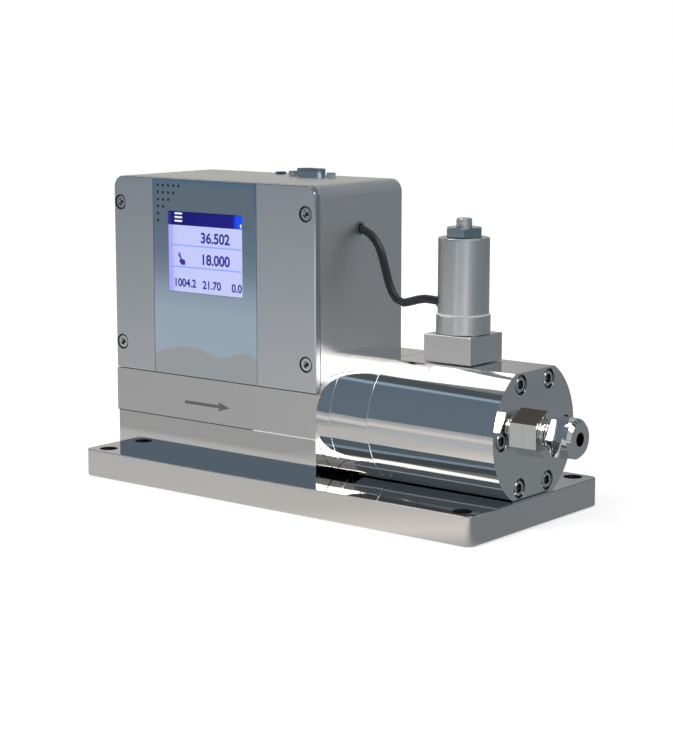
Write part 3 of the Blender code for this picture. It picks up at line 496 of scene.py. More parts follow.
def polished_stainless():
    """Turned and polished round body: rings too fine to count, a mirror with soft circular streaks."""
    material, tree, shader = finish("polished_stainless_steel", "#E3E2E0", 1.0, 0.05)
    rings = grain(tree, 0.5, (1.0, 60.0, 60.0))
    varied(tree, shader, "Roughness", rings.outputs[0], 0.03, 0.07)
    bumped(tree, shader, rings.outputs[0], 0.004, 0.10)
    return material


def ground_plate_steel():
    """Base plate: its sides ground to a satin along their length, its top polished to a clean mirror."""
    material, tree, shader = finish("ground_and_polished_steel_plate", "#E3E1DF", 1.0, 0.16)
    lines = grain(tree, 0.4, (80.0, 1.0, 1.0))
    settings = {**NOISE_SPAN, "To Min": 0.12, "To Max": 0.20}
    satin = add_node(tree, "ShaderNodeMapRange", settings, {"Value": lines.outputs[0]})
    upward = {"Value": place_parts(tree, "Normal")["Z"]}
    on_top = add_node(tree, "ShaderNodeMapRange", {"From Min": 0.90, "From Max": 0.99}, upward).outputs[0]
    links = {"Factor": on_top, "A": satin.outputs[0]}
    rough = add_node(tree, "ShaderNodeMix", {"data_type": "FLOAT", "B": 0.025}, links)
    tree.links.new(rough.outputs["Result"], shader.inputs["Roughness"])
    settings = {"data_type": "RGBA", "A": linear("#E3E1DF"), "B": linear("#DDDBD9")}
    tone = add_node(tree, "ShaderNodeMix", settings, {"Factor": on_top})
    tree.links.new(tone.outputs["Result"], shader.inputs["Base Color"])
    relief = add_node(tree, "ShaderNodeMapRange", {"To Min": 0.10, "To Max": 0.0}, {"Value": on_top})
    bumps = bumped(tree, shader, lines.outputs[0], 0.006, 0.10)
    tree.links.new(relief.outputs[0], bumps.inputs["Strength"])
    return material


print("polished and ground steel ready")


# %% Box, cover and small turned parts
def blasted_aluminium():
    """Cast box: bead-blasted, a fine even sparkle with no direction. Its round stub is turned bright."""
    # Real blasting leaves pits of about 0.1 mm, too fine to show here, so they are drawn coarser
    material, tree, shader = finish("bead_blasted_aluminium", "#E4E2E0", 1.0, 0.42)
    pits = grain(tree, 0.6, (1.0, 1.0, 1.0), 2.0)
    varied(tree, shader, "Roughness", pits.outputs[0], 0.36, 0.48)
    bumped(tree, shader, pits.outputs[0], 0.04, 0.5)
    settings = {"Base Color": linear("#E3E2E0"), "Metallic": 1.0, "Roughness": 0.05}
    bright = add_node(tree, "ShaderNodeBsdfPrincipled", settings)
    settings = {"operation": "GREATER_THAN", 1: BOX_RIGHT + 0.00005}
    on_stub = add_node(tree, "ShaderNodeMath", settings, {0: place_parts(tree, "Object")["X"]})
    links = {0: on_stub.outputs[0], 1: shader.outputs[0], 2: bright.outputs[0]}
    both = add_node(tree, "ShaderNodeMixShader", links=links)
    tree.links.new(both.outputs[0], tree.nodes["Material Output"].inputs["Surface"])
    return material


def anodised_aluminium():
    """Front cover: machined flat and satin anodised, with a bright cut edge all round its face and painted
    shade on its sides.
    """
    material, tree, shader = finish("satin_anodised_aluminium", "#E2E4E6", 1.0, 0.38)
    pores = grain(tree, 0.25, (1.0, 1.0, 1.0), 2.0)
    settings = {**NOISE_SPAN, "To Min": 0.35, "To Max": 0.42}
    satin = add_node(tree, "ShaderNodeMapRange", settings, {"Value": pores.outputs[0]})
    facing = place_parts(tree, "Normal")
    front = add_node(tree, "ShaderNodeMath", {"operation": "ABSOLUTE"}, {0: facing["Y"]})
    on_edge = window(tree, front.outputs[0], 0.20, 0.97, 0.05)
    # Its sides, top and bottom get a darker base colour: painted shade.
    painted_side_shade = add_node(tree, "ShaderNodeMath", {"operation": "LESS_THAN", 1: 0.15}, {0: front.outputs[0]})
    settings = {"data_type": "RGBA", "A": linear("#E2E4E6"), "B": linear("#BCBEC0")}
    tone = add_node(tree, "ShaderNodeMix", settings, {"Factor": painted_side_shade.outputs[0]})
    tree.links.new(tone.outputs["Result"], shader.inputs["Base Color"])
    links = {"Factor": on_edge, "A": satin.outputs[0]}
    rough = add_node(tree, "ShaderNodeMix", {"data_type": "FLOAT", "B": 0.10}, links)
    tree.links.new(rough.outputs["Result"], shader.inputs["Roughness"])
    bumped(tree, shader, pores.outputs[0], 0.008, 0.20)
    return material


def machined_steel(name, colour, roughness):
    """Small turned steel: screws, fittings and the valve, with tool marks too fine to see one by one."""
    material, tree, shader = finish(name, colour, 1.0, roughness)
    cuts = grain(tree, 0.12, (1.0, 1.0, 1.0), 2.0)
    varied(tree, shader, "Roughness", cuts.outputs[0], roughness * 0.92, roughness * 1.08)
    bumped(tree, shader, cuts.outputs[0], 0.002, 0.06)
    return material


print("metal finishes ready")

# %% [markdown]
# ## Plastics, film, board and glass
#
# The lead and the seals are black rubber, the connector's insulator is moulded black plastic, and the board
# inside is green laminate. The label is a printed polyester film with a smooth clear top.

# %% Rubber, plastic, board and small metals
def moulded(name, colour, roughness, size_mm, height_mm):
    """Rubber or plastic as it comes from the mould, with a fine matt texture."""
    material, tree, shader = finish(name, colour, 0.0, roughness)
    skin = grain(tree, size_mm, (1.0, 1.0, 1.0), 2.0)
    varied(tree, shader, "Roughness", skin.outputs[0], roughness - 0.06, roughness + 0.06)
    bumped(tree, shader, skin.outputs[0], height_mm, 0.3)
    return material


def circuit_laminate():
    """Glass-fibre board: a green mask over copper tracks laid out on a 2.5 mm grid."""
    material, tree, shader = finish("green_circuit_laminate", "#1E5B38", 0.0, 0.35)
    place = add_node(tree, "ShaderNodeTexCoord")
    colours = {"Color1": linear("#1E5B38"), "Color2": linear("#246642"), "Mortar": linear("#3C8257")}
    settings = {**colours, "Scale": 400.0, "Mortar Size": 0.08}
    tracks = add_node(tree, "ShaderNodeTexBrick", settings, {"Vector": place.outputs["Object"]})
    tree.links.new(tracks.outputs["Color"], shader.inputs["Base Color"])
    return material


def wound_copper():
    """Coil of enamelled wire, its turns 0.4 mm apart."""
    material, tree, shader = finish("enamelled_copper_winding", "#CA7442", 1.0, 0.32)
    place = add_node(tree, "ShaderNodeTexCoord")
    settings = {"bands_direction": "Y", "Scale": 400.0}
    turns = add_node(tree, "ShaderNodeTexWave", settings, {"Vector": place.outputs["Object"]})
    bumped(tree, shader, turns.outputs["Fac"], 0.1, 0.6)
    return material


print("plastics and board ready")

# %% [markdown]
# ## Printed label film
#
# The film's print is worked out from places on the label, in millimetres: a slate panel with a stepped
# triangle of dots, a fade from dark slate to pale blue, and a soft grey wave at the bottom.

# %% Label film
LABEL_LEFT = -0.0897
LABEL_RIGHT = -0.0205
LABEL_TOP = 0.1543
LABEL_FOOT = 0.0549
PANEL_BOTTOM = 0.1311
PANEL_INSET = 0.0017
FADE_STOPS = [
    (0.00, "#93A3AF"), (0.33, "#90A0AE"), (0.43, "#8494A3"), (0.55, "#6A7A8A"), (0.66, "#5A6B7C"),
    (0.76, "#56687A"), (1.00, "#46627A"),
]
DOT_PITCH = 0.0036
DOT_RADIUS = 0.00075
# The first dot's middle, from the label's left and top edges
DOT_INSET = (0.0033, 0.0028)
# The wave's top edge: share across the label, share of its height span above the label's foot
WAVE_POINTS = [(0.0, 0.50), (0.35, 0.78), (0.68, 0.61), (0.87, 0.77), (1.0, 0.66)]
WAVE_SPAN = 0.0200


def label_film():
    """Polyester film printed on its back: flat inks under a smooth clear surface."""
    material, tree, shader = finish("printed_polyester_film", "#90A0AE", 0.0, 0.30)
    place = place_parts(tree, "Object")
    x = place["X"]
    z = place["Z"]
    settings = {"From Min": LABEL_FOOT, "From Max": LABEL_TOP}
    height = add_node(tree, "ShaderNodeMapRange", settings, {"Value": z})
    fade = add_node(tree, "ShaderNodeValToRGB", {"stops": FADE_STOPS}, {0: height.outputs[0]})
    panel = add_node(tree, "ShaderNodeMath", {"operation": "GREATER_THAN", 1: PANEL_BOTTOM}, {0: z})
    edges = [
        ("GREATER_THAN", LABEL_LEFT + PANEL_INSET, x),
        ("LESS_THAN", LABEL_RIGHT - PANEL_INSET, x),
        ("LESS_THAN", LABEL_TOP - PANEL_INSET, z),
    ]
    for test, edge, value in edges:
        inside = add_node(tree, "ShaderNodeMath", {"operation": test, 1: edge}, {0: value})
        both = {0: panel.outputs[0], 1: inside.outputs[0]}
        panel = add_node(tree, "ShaderNodeMath", {"operation": "MULTIPLY"}, both)
    links = {"Factor": panel.outputs[0], "A": fade.outputs[0]}
    slate = add_node(tree, "ShaderNodeMix", {"data_type": "RGBA", "B": linear("#556570")}, links)
    settings = {"From Min": LABEL_LEFT, "From Max": LABEL_RIGHT}
    along = add_node(tree, "ShaderNodeMapRange", settings, {"Value": x})
    curve = add_node(tree, "ShaderNodeFloatCurve", links={"Value": along.outputs[0]})
    points = curve.mapping.curves[0].points
    for share, rise in WAVE_POINTS[1:-1]:
        points.new(share, rise)
    points[0].location = WAVE_POINTS[0]
    points[-1].location = WAVE_POINTS[-1]
    curve.mapping.update()
    settings = {"operation": "MULTIPLY_ADD", 1: WAVE_SPAN, 2: LABEL_FOOT}
    crest = add_node(tree, "ShaderNodeMath", settings, {0: curve.outputs[0]})
    below = add_node(tree, "ShaderNodeMath", {"operation": "LESS_THAN"}, {0: z, 1: crest.outputs[0]})
    links = {"Factor": below.outputs[0], "A": slate.outputs["Result"]}
    ink = add_node(tree, "ShaderNodeMix", {"data_type": "RGBA", "B": linear("#919597")}, links)
    tree.links.new(ink.outputs["Result"], shader.inputs["Base Color"])
    return material


print("label film", round((LABEL_RIGHT - LABEL_LEFT) * 1000, 1), "mm wide")

# %% [markdown]
# ## Display
#
# The screen glows through a clear pane: a dark blue title bar, a lavender page and a darker strip on its
# left where the backlight falls off. The numbers are text objects a few hundredths of a millimetre proud.

# %% Display glass
WINDOW_LEFT = -0.0796
WINDOW_RIGHT = -0.0296
HEADER_BOTTOM = 0.1319
PAGE_STOPS = [(0.0, "#B0B0FC"), (0.05, "#ACADFA"), (0.085, "#C4C8FD"), (0.14, "#C9CFFE"), (1.0, "#CBD0FE")]
TITLE_STOPS = [
    (0.0, "#3A3AB4"), (0.06, "#16166C"), (0.88, "#1C1C80"), (0.90, "#2034C8"), (0.93, "#1450FF"),
    (1.0, "#1450FF"),
]


def lit_display():
    """Clear pane over a lit screen. The picture glows evenly, and the pane adds a faint shine."""
    glow = {"Emission_Strength": 0.95, "Specular_IOR_Level": 0.15}
    material, tree, shader = finish("lit_display_pane", "#08081C", 0.0, 0.12, **glow)
    place = place_parts(tree, "Object")
    settings = {"From Min": WINDOW_LEFT, "From Max": WINDOW_RIGHT}
    across = add_node(tree, "ShaderNodeMapRange", settings, {"Value": place["X"]})
    page = add_node(tree, "ShaderNodeValToRGB", {"stops": PAGE_STOPS}, {0: across.outputs[0]})
    title = add_node(tree, "ShaderNodeValToRGB", {"stops": TITLE_STOPS}, {0: across.outputs[0]})
    settings = {"operation": "GREATER_THAN", 1: HEADER_BOTTOM}
    upper = add_node(tree, "ShaderNodeMath", settings, {0: place["Z"]})
    links = {"Factor": upper.outputs[0], "A": page.outputs[0], "B": title.outputs[0]}
    picture = add_node(tree, "ShaderNodeMix", {"data_type": "RGBA"}, links)
    tree.links.new(picture.outputs["Result"], shader.inputs["Emission Color"])
    return material


print("display", round((WINDOW_RIGHT - WINDOW_LEFT) * 1000, 1), "mm wide")

# %% [markdown]
# ## Dress the CAD nodes
#
# The record names a material slot for each node. One table matches the slots to the finishes above. Four
# small nodes have a finish of their own: grey rubber, two bluish platings and a dark blue plastic.

# %% Finishes by slot
finishes = {
    "plate_steel": ground_plate_steel(),
    "polished_steel": polished_stainless(),
    "cast_aluminium": blasted_aluminium(),
    "cover_aluminium": anodised_aluminium(),
    "screw_steel": machined_steel("zinc_plated_screw_steel", "#DADBDC", 0.20),
    "fitting_steel": machined_steel("machined_stainless_fitting", "#E5E3E0", 0.06),
    "valve_steel": machined_steel("machined_valve_steel", "#E0DFDE", 0.27),
    "label_film": label_film(),
    "display_glass": lit_display(),
    "black_plastic": moulded("moulded_black_plastic", "#1B1C1E", 0.42, 0.5, 0.02),
    "black_rubber": moulded("black_rubber", "#1B1C20", 0.36, 0.4, 0.02),
    "board_green": circuit_laminate(),
    "brass": machined_steel("turned_brass", "#E0B962", 0.22),
    "copper_winding": wound_copper(),
}
for name, node in nodes.items():
    for slot in node.material_slots:
        slot.material = finishes[slot.material.name.split(".")[0]]
own_finish = {
    "lead_grommet": moulded("grey_rubber_grommet", "#66696C", 0.50, 0.4, 0.02),
    "connector_shell": machined_steel("blue_grey_nickel_plate", "#B2C0CC", 0.10),
    "coil_nut": machined_steel("blue_passivated_zinc", "#AEBAC0", 0.08),
    "top_plug": moulded("moulded_dark_blue_plastic", "#12324A", 0.25, 0.5, 0.01),
}
for name, material in own_finish.items():
    nodes[name].material_slots[0].material = material
print("dressed", len(nodes), "nodes in", len(finishes) + len(own_finish), "finishes")

# %% [markdown]
# ## Print and small parts
#
# Numbers, bars and the flow arrow are thin flat pieces that stand a few hundredths of a millimetre proud of
# what carries them. They ride on the meter like any other piece.

# %% Helpers for flat print
FRONT_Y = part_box("front_cover")[0].y
PRINT_PROUD = 0.00005
# Share of a digit's size by which its strokes are made bolder
BOLD = 0.030


def ink(name, colour, glow=0.0):
    """Screen-printed ink, or a lit part of the display where glow is above zero."""
    material, tree, shader = finish(name, colour, 0.0, 0.45)
    tone = grain(tree, 0.4, (1.0, 1.0, 1.0), 2.0)
    varied(tree, shader, "Roughness", tone.outputs[0], 0.40, 0.50)
    if glow:
        shader.inputs["Emission Color"].default_value = linear(colour)
        shader.inputs["Emission Strength"].default_value = glow
        shader.inputs["Base Color"].default_value = linear("#08080C")
    return material


def place_piece(obj, material):
    """Links a piece, gives it its finish and lets it ride on the meter."""
    bpy.context.scene.collection.objects.link(obj)
    obj.data.materials.append(material)
    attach(obj, "root")
    return obj


def mesh_piece(name, bm, material):
    """Turns a finished bmesh into a piece."""
    mesh = bpy.data.meshes.new(name)
    bm.to_mesh(mesh)
    bm.free()
    return place_piece(bpy.data.objects.new(name, mesh), material)


print("front of the cover at y", round(FRONT_Y * 1000, 2), "mm")


# %% Outlines and numbers
def flat_print(name, outlines, y, material):
    """Flat closed outlines of (x, z) points, facing the front, at a depth y."""
    bm = bmesh.new()
    for outline in outlines:
        bm.faces.new([bm.verts.new((px, y, pz)) for px, pz in outline])
    bmesh.ops.recalc_face_normals(bm, faces=bm.faces)
    for face in bm.faces:
        if face.normal.y > 0:
            face.normal_flip()
    return mesh_piece(name, bm, material)


def rectangle(left, low, right, high):
    return [(left, low), (right, low), (right, high), (left, high)]


def disc(cx, cz, radius, sides=20):
    turns = [math.tau * i / sides for i in range(sides)]
    return [(cx + radius * math.cos(a), cz + radius * math.sin(a)) for a in turns]


def number(name, text, right, low, size, y, material):
    """A plain number whose right end and baseline are given."""
    curve = bpy.data.curves.new(name, "FONT")
    curve.body = text
    curve.size = size
    curve.align_x = "RIGHT"
    curve.offset = size * BOLD
    obj = bpy.data.objects.new(name, curve)
    obj.location = (right, y, low)
    obj.rotation_euler = (math.pi / 2, 0.0, 0.0)
    return place_piece(obj, material)


print("print stands", PRINT_PROUD * 1000, "mm proud")

# %% Dots on the label
label_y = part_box("front_label")[0].y - PRINT_PROUD
dots = []
for row, count in enumerate((5, 4, 3, 2, 1, 1)):
    dot_z = LABEL_TOP - DOT_INSET[1] - row * DOT_PITCH
    for column in range(count):
        dots.append(disc(LABEL_LEFT + DOT_INSET[0] + column * DOT_PITCH, dot_z, DOT_RADIUS, 12))
flat_print("label_dots", dots, label_y, ink("black_screen_ink", "#080C10"))
print("label dots", len(dots))

# %% Numbers and bars on the display
glass_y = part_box("display_glass")[0].y - PRINT_PROUD
white_light = ink("white_display_light", "#F4F6FF", 1.0)
blue_light = ink("blue_display_line", "#7FA2FF", 1.0)
digit_ink = ink("dark_blue_display_digits", "#302E98", 0.9)
bars = [rectangle(-0.0749, z, -0.0697, z + 0.0009) for z in (0.1335, 0.1354, 0.1373)]
bars.append(rectangle(-0.0308, 0.1326, -0.0299, 0.1344))
flat_print("display_menu_bars", bars, glass_y, white_light)
lines = [rectangle(-0.0778, z, WINDOW_RIGHT - 0.0003, z + 0.0006) for z in (0.1215, 0.1106)]
flat_print("display_dividers", lines, glass_y, blue_light)
hand = [
    (-0.0722, 0.1166), (-0.0712, 0.1168), (-0.0704, 0.1151), (-0.0682, 0.1144), (-0.0677, 0.1131),
    (-0.0682, 0.1119), (-0.0704, 0.1119), (-0.0722, 0.1137), (-0.0712, 0.1144),
]
touch = [disc(-0.0719, 0.1171, 0.0012, 16)]
touch_ink = ink("pale_blue_display_mark", "#7C80D8", 1.0)
flat_print("display_touch_ring", touch, glass_y, touch_ink)
flat_print("display_hand", [hand], glass_y - PRINT_PROUD, digit_ink)
numbers = [
    ("flow", "36.502", -0.0377, 0.1238, 0.0072), ("set", "18.000", -0.0377, 0.1129, 0.0072),
    ("left", "1004.2", -0.0606, 0.1010, 0.0056), ("middle", "21.70", -0.0438, 0.1008, 0.0056),
    ("right", "0.0", -0.0299, 0.1006, 0.0056),
]
for place, text, right, low, size in numbers:
    number("display_number_" + place, text, right, low, size, glass_y, digit_ink)
print("display numbers placed")

# %% Flow arrow on the lower band
arrow_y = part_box("housing")[0].y - PRINT_PROUD
tail_x = -0.0693
tip_x = -0.0385
mid_z = 0.0418
arrow = [
    (tail_x, mid_z - 0.0008),
    (tip_x - 0.0072, mid_z - 0.0008),
    (tip_x - 0.0080, mid_z - 0.0024),
    (tip_x, mid_z),
    (tip_x - 0.0080, mid_z + 0.0024),
    (tip_x - 0.0072, mid_z + 0.0008),
    (tail_x, mid_z + 0.0008),
]
flat_print("flow_arrow", [arrow], arrow_y, ink("dark_grey_screen_ink", "#5A5C5E"))
print("arrow", round((tip_x - tail_x) * 1000, 1), "mm long")

# %% [markdown]
# ## Joints, threads and pins
#
# Parts that bolt together leave a seam. Each seam here holds a thin bead of bright sealant that catches the
# light, as it does in the picture, and the round body's seams have a burnished lip too. The fitting necks
# carry a thread, drawn as separate rings because its slope is too slight to see. Each ring is made from an
# outline or a section, because a few named sizes then say all of it.

# %% Helpers for beads and turned pieces
# The flow's axis above the plate's underside, the round body's radius, and its flats from the axis
AXIS_Z = 0.0436
BODY_R = 0.0340
FLAT = 0.0297
# A bead keeps this far from the solids on either side of its seam, which is SEAM wide
CLEAR = 0.00002
SEAM = 0.0003


def join_loops(bm, loops, closed=True):
    """Joins each loop of corners to the next with faces, and where closed the last to the first."""
    following = loops[1:] + loops[:1] if closed else loops[1:]
    for first, second in zip(loops, following):
        for i in range(len(first)):
            j = (i + 1) % len(first)
            bm.faces.new((first[i], first[j], second[j], second[i]))


def ring_slab(name, outer, inner, spot, low, high, material):
    """Thin ring between two outlines of equal length. spot turns (u, v, depth) into a place."""
    bm = bmesh.new()
    loops = []
    for outline, depth in ((outer, low), (outer, high), (inner, high), (inner, low)):
        loops.append([bm.verts.new(spot(u, v, depth)) for u, v in outline])
    join_loops(bm, loops)
    bmesh.ops.recalc_face_normals(bm, faces=bm.faces)
    return mesh_piece(name, bm, material)


def body_outline(scale, sides=120):
    """Section of the round body: a circle cut off by its two flats."""
    points = []
    for i in range(sides):
        angle = math.tau * i / sides
        height = max(-FLAT, min(FLAT, BODY_R * math.sin(angle)))
        points.append((BODY_R * math.cos(angle) * scale, AXIS_Z + height * scale))
    return points


print("round body", BODY_R * 2000, "mm across, its flats", round(FLAT * 2000, 1), "mm apart")


# %% Helpers for turned rings
def turned_ring(bm, section, spot, sides=32, closed=True):
    """Turns a section of (radius, depth) corners. spot turns (u, v, depth) into a place."""
    turns = [math.tau * i / sides for i in range(sides)]
    loops = []
    for radius, depth in section:
        loops.append([bm.verts.new(spot(radius * math.cos(a), radius * math.sin(a), depth)) for a in turns])
    join_loops(bm, loops, closed)


def ring_section(inner, outer, low, high):
    """Corners of a ring's section between two radii and two depths."""
    return [(inner, low), (outer, low), (outer, high), (inner, high)]


def across(u, v, depth):
    return (depth, u, v)


def facing_front(u, v, depth):
    return (u, depth, v)


def facing_up(u, v, depth):
    return (u, v, depth)


def along_flow(u, v, depth):
    return (depth, u, AXIS_Z + v)


print("flow's axis at z", round(AXIS_Z * 1000, 1), "mm")

# %% Beads in the seams
bead = machined_steel("bright_sealant_bead", "#F0F0EE", 0.38)
lip = machined_steel("burnished_joint_lip", "#F0F0EE", 0.24)
LIP_BACK = 0.00040
LIP_FRONT = 0.00010
for count, name in ((1, "body_ring"), (2, "outlet_body")):
    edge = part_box(name)[0].x
    ring_slab(
        "body_joint_bead_%d" % count,
        body_outline(1.0015),
        body_outline(0.97),
        across,
        edge - SEAM + CLEAR,
        edge - CLEAR,
        bead,
    )
    ring_slab(
        "body_joint_lip_%d" % count,
        body_outline(1.0030),
        body_outline(1.0006),
        across,
        edge - LIP_BACK,
        edge + LIP_FRONT,
        lip,
    )
print("beads and lips in the two seams of the body")

# %% Beads over and under the base block
block_low, block_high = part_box("base_block")
plate_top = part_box("base_plate")[1].z
seam = block_high.z
PROUD = 0.0004
right = block_high.x + PROUD * 0.2
outer = rectangle(block_low.x - PROUD, block_low.y - PROUD, right, block_high.y + PROUD)
inner = rectangle(block_low.x + 0.001, block_low.y + 0.001, block_high.x - 0.001, block_high.y - 0.001)
seam_top = seam + SEAM - CLEAR
ring_slab("base_joint_bead", outer, inner, facing_up, seam + CLEAR, seam_top, bead)
outer = rectangle(block_low.x, block_low.y, block_high.x, block_high.y)
ring_slab(
    "base_seat_bead",
    outer,
    inner,
    facing_up,
    plate_top + 0.00001,
    block_low.z - 0.00001,
    finishes["polished_steel"],
)
# Left of this place a dark strip along the joint is painted shadow under the housing's edge, and right of it
# a white strip is a painted highlight
SHADOW_TO_HIGHLIGHT_AT = -0.0234
strip_y = block_low.y - PROUD - CLEAR
strip = rectangle(block_low.x + 0.0005, seam - 0.0002, SHADOW_TO_HIGHLIGHT_AT, seam_top)
flat_print("base_joint_shadow", [strip], strip_y, ink("painted_shadow_under_housing", "#2E3134"))
# The white strip along the rest of the joint is a painted highlight.
strip = rectangle(SHADOW_TO_HIGHLIGHT_AT, seam - 0.0002, block_high.x, seam_top)
flat_print("base_joint_painted_highlight", [strip], strip_y, ink("painted_highlight_on_joint", "#F0F0EE"))
print("seam of the base at z", round(seam * 1000, 2), "mm")

# %% Painted shade on the walls of the plate's holes
# A black lining inside each hole is painted shade, so that the holes look dark.
hole_shade_paint = moulded("painted_hole_shade_black", "#0A0A0B", 0.60, 0.3, 0.004)
HOLE_R = 0.0046
HOLE_PLACES = [(x, y) for x in (-0.1125, 0.1125) for y in (-0.0465, 0.0465)]
bm = bmesh.new()
for x, y in HOLE_PLACES:
    section = ring_section(HOLE_R - 0.00005, HOLE_R, 0.0004, plate_top - 0.0002)
    turned_ring(bm, section, lambda u, v, depth: (x + u, y + v, depth))
bmesh.ops.recalc_face_normals(bm, faces=bm.faces)
mesh_piece("plate_hole_painted_shade", bm, hole_shade_paint)
print("linings in", len(HOLE_PLACES), "holes of the plate")

# %% Bead behind the cover
cover_low, cover_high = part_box("front_cover")
ROUND_R = 0.0062


def cover_outline(inset, steps=8):
    left = cover_low.x + inset
    right = cover_high.x - inset
    top = cover_high.z - inset
    points = [(left, cover_low.z + inset), (right, cover_low.z + inset)]
    for cx, start in ((right - ROUND_R, 0.0), (left + ROUND_R, 90.0)):
        for i in range(steps + 1):
            angle = math.radians(start + 90.0 * i / steps)
            points.append((cx + ROUND_R * math.cos(angle), top - ROUND_R + ROUND_R * math.sin(angle)))
    return points


back = cover_high.y
ring_slab(
    "cover_joint_bead",
    cover_outline(0.00003),
    cover_outline(0.001),
    facing_front,
    back + CLEAR,
    back + SEAM - CLEAR,
    finishes["cast_aluminium"],
)
print("bead behind the cover at y", round(back * 1000, 2), "mm")

# %% Seat under each fitting
def hexagon(size, sides=48):
    """Hexagon across its flats, sampled at even angles so that it pairs with a circle."""
    points = []
    for i in range(sides):
        angle = math.tau * i / sides
        off = (angle + math.pi / 6) % (math.pi / 3) - math.pi / 6
        radius = size / 2 / math.cos(off)
        points.append((radius * math.cos(angle), AXIS_Z + radius * math.sin(angle)))
    return points


SEAT_ACROSS = 0.0195
SEAT_BORE_R = 0.0085
end_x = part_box("outlet_body")[1].x
ring_slab(
    "outlet_seat_ring",
    hexagon(SEAT_ACROSS),
    disc(0.0, AXIS_Z, SEAT_BORE_R, 48),
    across,
    end_x + 0.00001,
    end_x + SEAM - 0.00001,
    finishes["fitting_steel"],
)
print("seat ring at x", round(end_x * 1000, 2), "mm")

# %% Threads on the fitting necks
NECK_R = 0.0063
THREAD_PITCH = 0.0016
THREAD_TURNS = 3
thread_steel = machined_steel("rolled_stainless_thread", "#E5E3E0", 0.10)
necks = (
    (1, "outlet_fitting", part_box("outlet_fitting_nut")[0].x),
    (-1, "inlet_fitting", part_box("inlet_fitting_nut")[1].x),
)
for side, name, nut_x in necks:
    start = nut_x - side * 0.0001
    profile = [(NECK_R + 0.00002, start)]
    for i in range(THREAD_TURNS):
        root = start - side * (0.0003 + THREAD_PITCH * i)
        profile.append((NECK_R + 0.00005, root))
        profile.append((NECK_R + 0.0008, root - side * 0.0004))
        profile.append((NECK_R + 0.0008, root - side * 0.0008))
        profile.append((NECK_R + 0.00005, root - side * 0.0012))
    profile.append((NECK_R + 0.00002, start - side * 0.0050))
    bm = bmesh.new()
    turned_ring(bm, profile, along_flow, 48, closed=False)
    bmesh.ops.recalc_face_normals(bm, faces=bm.faces)
    for face in bm.faces:
        face.smooth = True
    thread = mesh_piece(name + "_thread", bm, thread_steel)
    thread.modifiers.new("smooth_round_faces", "NODES").node_group = smoothing
print("threads on both necks")

# %% [markdown]
# ## Painted shade and a painted highlight
#
# Dark rings round the screw heads, dark plugs in their sockets and dark rings in the roots of the threads
# are painted shade, which draws a fine dark ring round each head. A white ring between the coil and its
# collar is a painted highlight. Each is a thin closed ring, turned from its section.

# %% Painted shade round the screw heads and in their sockets
# Dark rings and plugs below are painted shade round the screw heads, in their sockets and in the thread
# roots
dark_shade_paint = moulded("painted_shade_in_recesses", "#0C0D0E", 0.35, 0.3, 0.005)
SHADE_HIGH = 0.00003
TIP = 0.00001


def on_end(centre):
    """Places (u, v, depth) round a screw's centre on the body's end face."""
    return lambda u, v, depth: (end_x + depth, centre.y + u, centre.z + v)


def on_cover(centre):
    """Places (u, v, depth) round a screw's centre on the cover."""
    return lambda u, v, depth: (centre.x + u, FRONT_Y - depth, centre.z + v)


recess_shade = bmesh.new()
socket_shade = bmesh.new()
end_socket_shade = [(TIP, -0.0032), (0.0015, -0.0032), (0.0015, -0.0012), (TIP, -0.0014)]
cover_socket_shade = [(TIP, -0.0014), (0.0010, -0.0014), (0.0010, -0.0009), (TIP, -0.0011)]
screws = [
    ("end_screw", 6, on_end, ring_section(0.0041, 0.0045, TIP, SHADE_HIGH), end_socket_shade),
    ("cover_screw", 4, on_cover, ring_section(0.0033, 0.0037, TIP, SHADE_HIGH), cover_socket_shade),
]
for kind, count, on_face, ring, plug in screws:
    for i in range(1, count + 1):
        low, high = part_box("%s_%d" % (kind, i))
        spot = on_face((low + high) / 2)
        turned_ring(recess_shade, ring, spot)
        turned_ring(socket_shade, plug, spot)
print("painted shade for", sum(kind[1] for kind in screws), "screws")

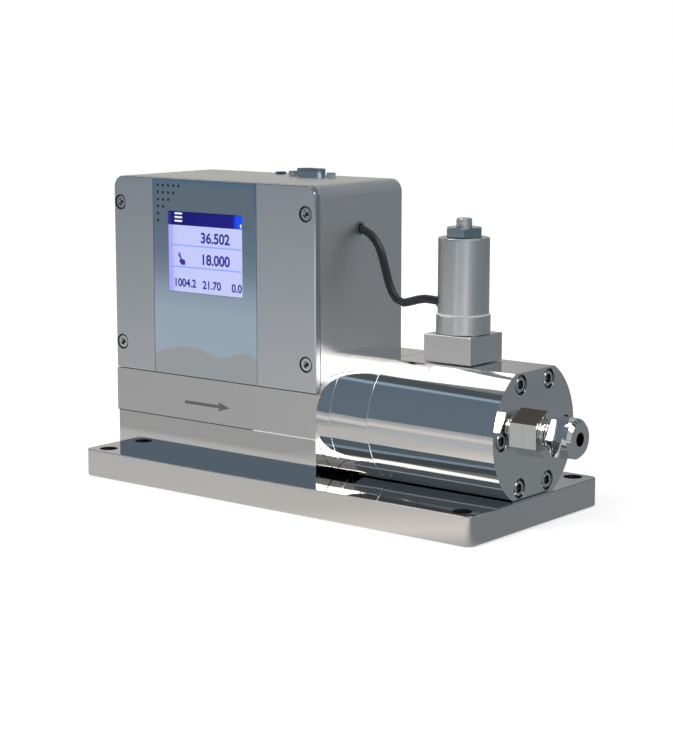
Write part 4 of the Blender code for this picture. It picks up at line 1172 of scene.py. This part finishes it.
# %% Painted shade in the roots of the threads
# Dark rings in the thread roots are painted shade.
root = bmesh.new()
for side, name, nut_x in necks:
    for i in range(THREAD_TURNS):
        start = nut_x - side * (0.0004 + THREAD_PITCH * i)
        section = ring_section(NECK_R + 0.00006, NECK_R + 0.0003, start, start + side * 0.0003)
        turned_ring(root, section, along_flow)
for name, bm in (("screw_recess_painted_shade", recess_shade), ("screw_socket_painted_shade", socket_shade), ("thread_root_oil", root)):
    bmesh.ops.recalc_face_normals(bm, faces=bm.faces)
    mesh_piece(name, bm, dark_shade_paint)
print("painted shade in", 2 * THREAD_TURNS, "thread roots")

# %% Painted highlight between the coil and its collar
# A white ring fills the gap under the coil as a painted highlight, standing in for the light on the collar's
# top edge.
collar_highlight_paint = moulded("painted_highlight_white", "#F2F4F6", 0.40, 0.3, 0.005)
coil_low, coil_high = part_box("coil_housing")
collar_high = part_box("valve_collar")[1]
valve_x = (coil_low.x + coil_high.x) / 2
coil_r = (coil_high.y - coil_low.y) / 2
outer = disc(valve_x, 0.0, coil_r + 0.0005, 48)
inner = disc(valve_x, 0.0, coil_r - 0.001, 48)
highlight_ring_low = collar_high.z + 0.00001
highlight_ring_high = coil_low.z - 0.00001
ring_slab("collar_painted_highlight", outer, inner, facing_up, highlight_ring_low, highlight_ring_high, collar_highlight_paint)
print("painted highlight under the coil", round((coil_low.z - collar_high.z) * 1000, 2), "mm high")

# %% Connector pins
pin_gold = machined_steel("gold_plated_pin", "#D8B45C", 0.15)
PIN_STEP = 0.00277
ROW_OFF = 0.00142
insert_low, insert_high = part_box("connector_insert")
shell_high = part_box("connector_shell")[1]
# The pins stay a little below the shell's rim
PIN_HEIGHT = max(0.00015, min(0.0012, shell_high.z - insert_high.z - 0.0004))
middle = (insert_low + insert_high) / 2
bm = bmesh.new()
for row, count in ((1, 5), (-1, 4)):
    for i in range(count):
        x = middle.x + (i - (count - 1) / 2) * PIN_STEP
        spot = Matrix.Translation((x, middle.y + row * ROW_OFF, insert_high.z + PIN_HEIGHT / 2))
        size = {"radius1": 0.0004, "radius2": 0.0003, "depth": PIN_HEIGHT}
        bmesh.ops.create_cone(bm, cap_ends=True, segments=12, matrix=spot, **size)
mesh_piece("connector_pins", bm, pin_gold)
print("nine pins", round(PIN_HEIGHT * 1000, 2), "mm high")
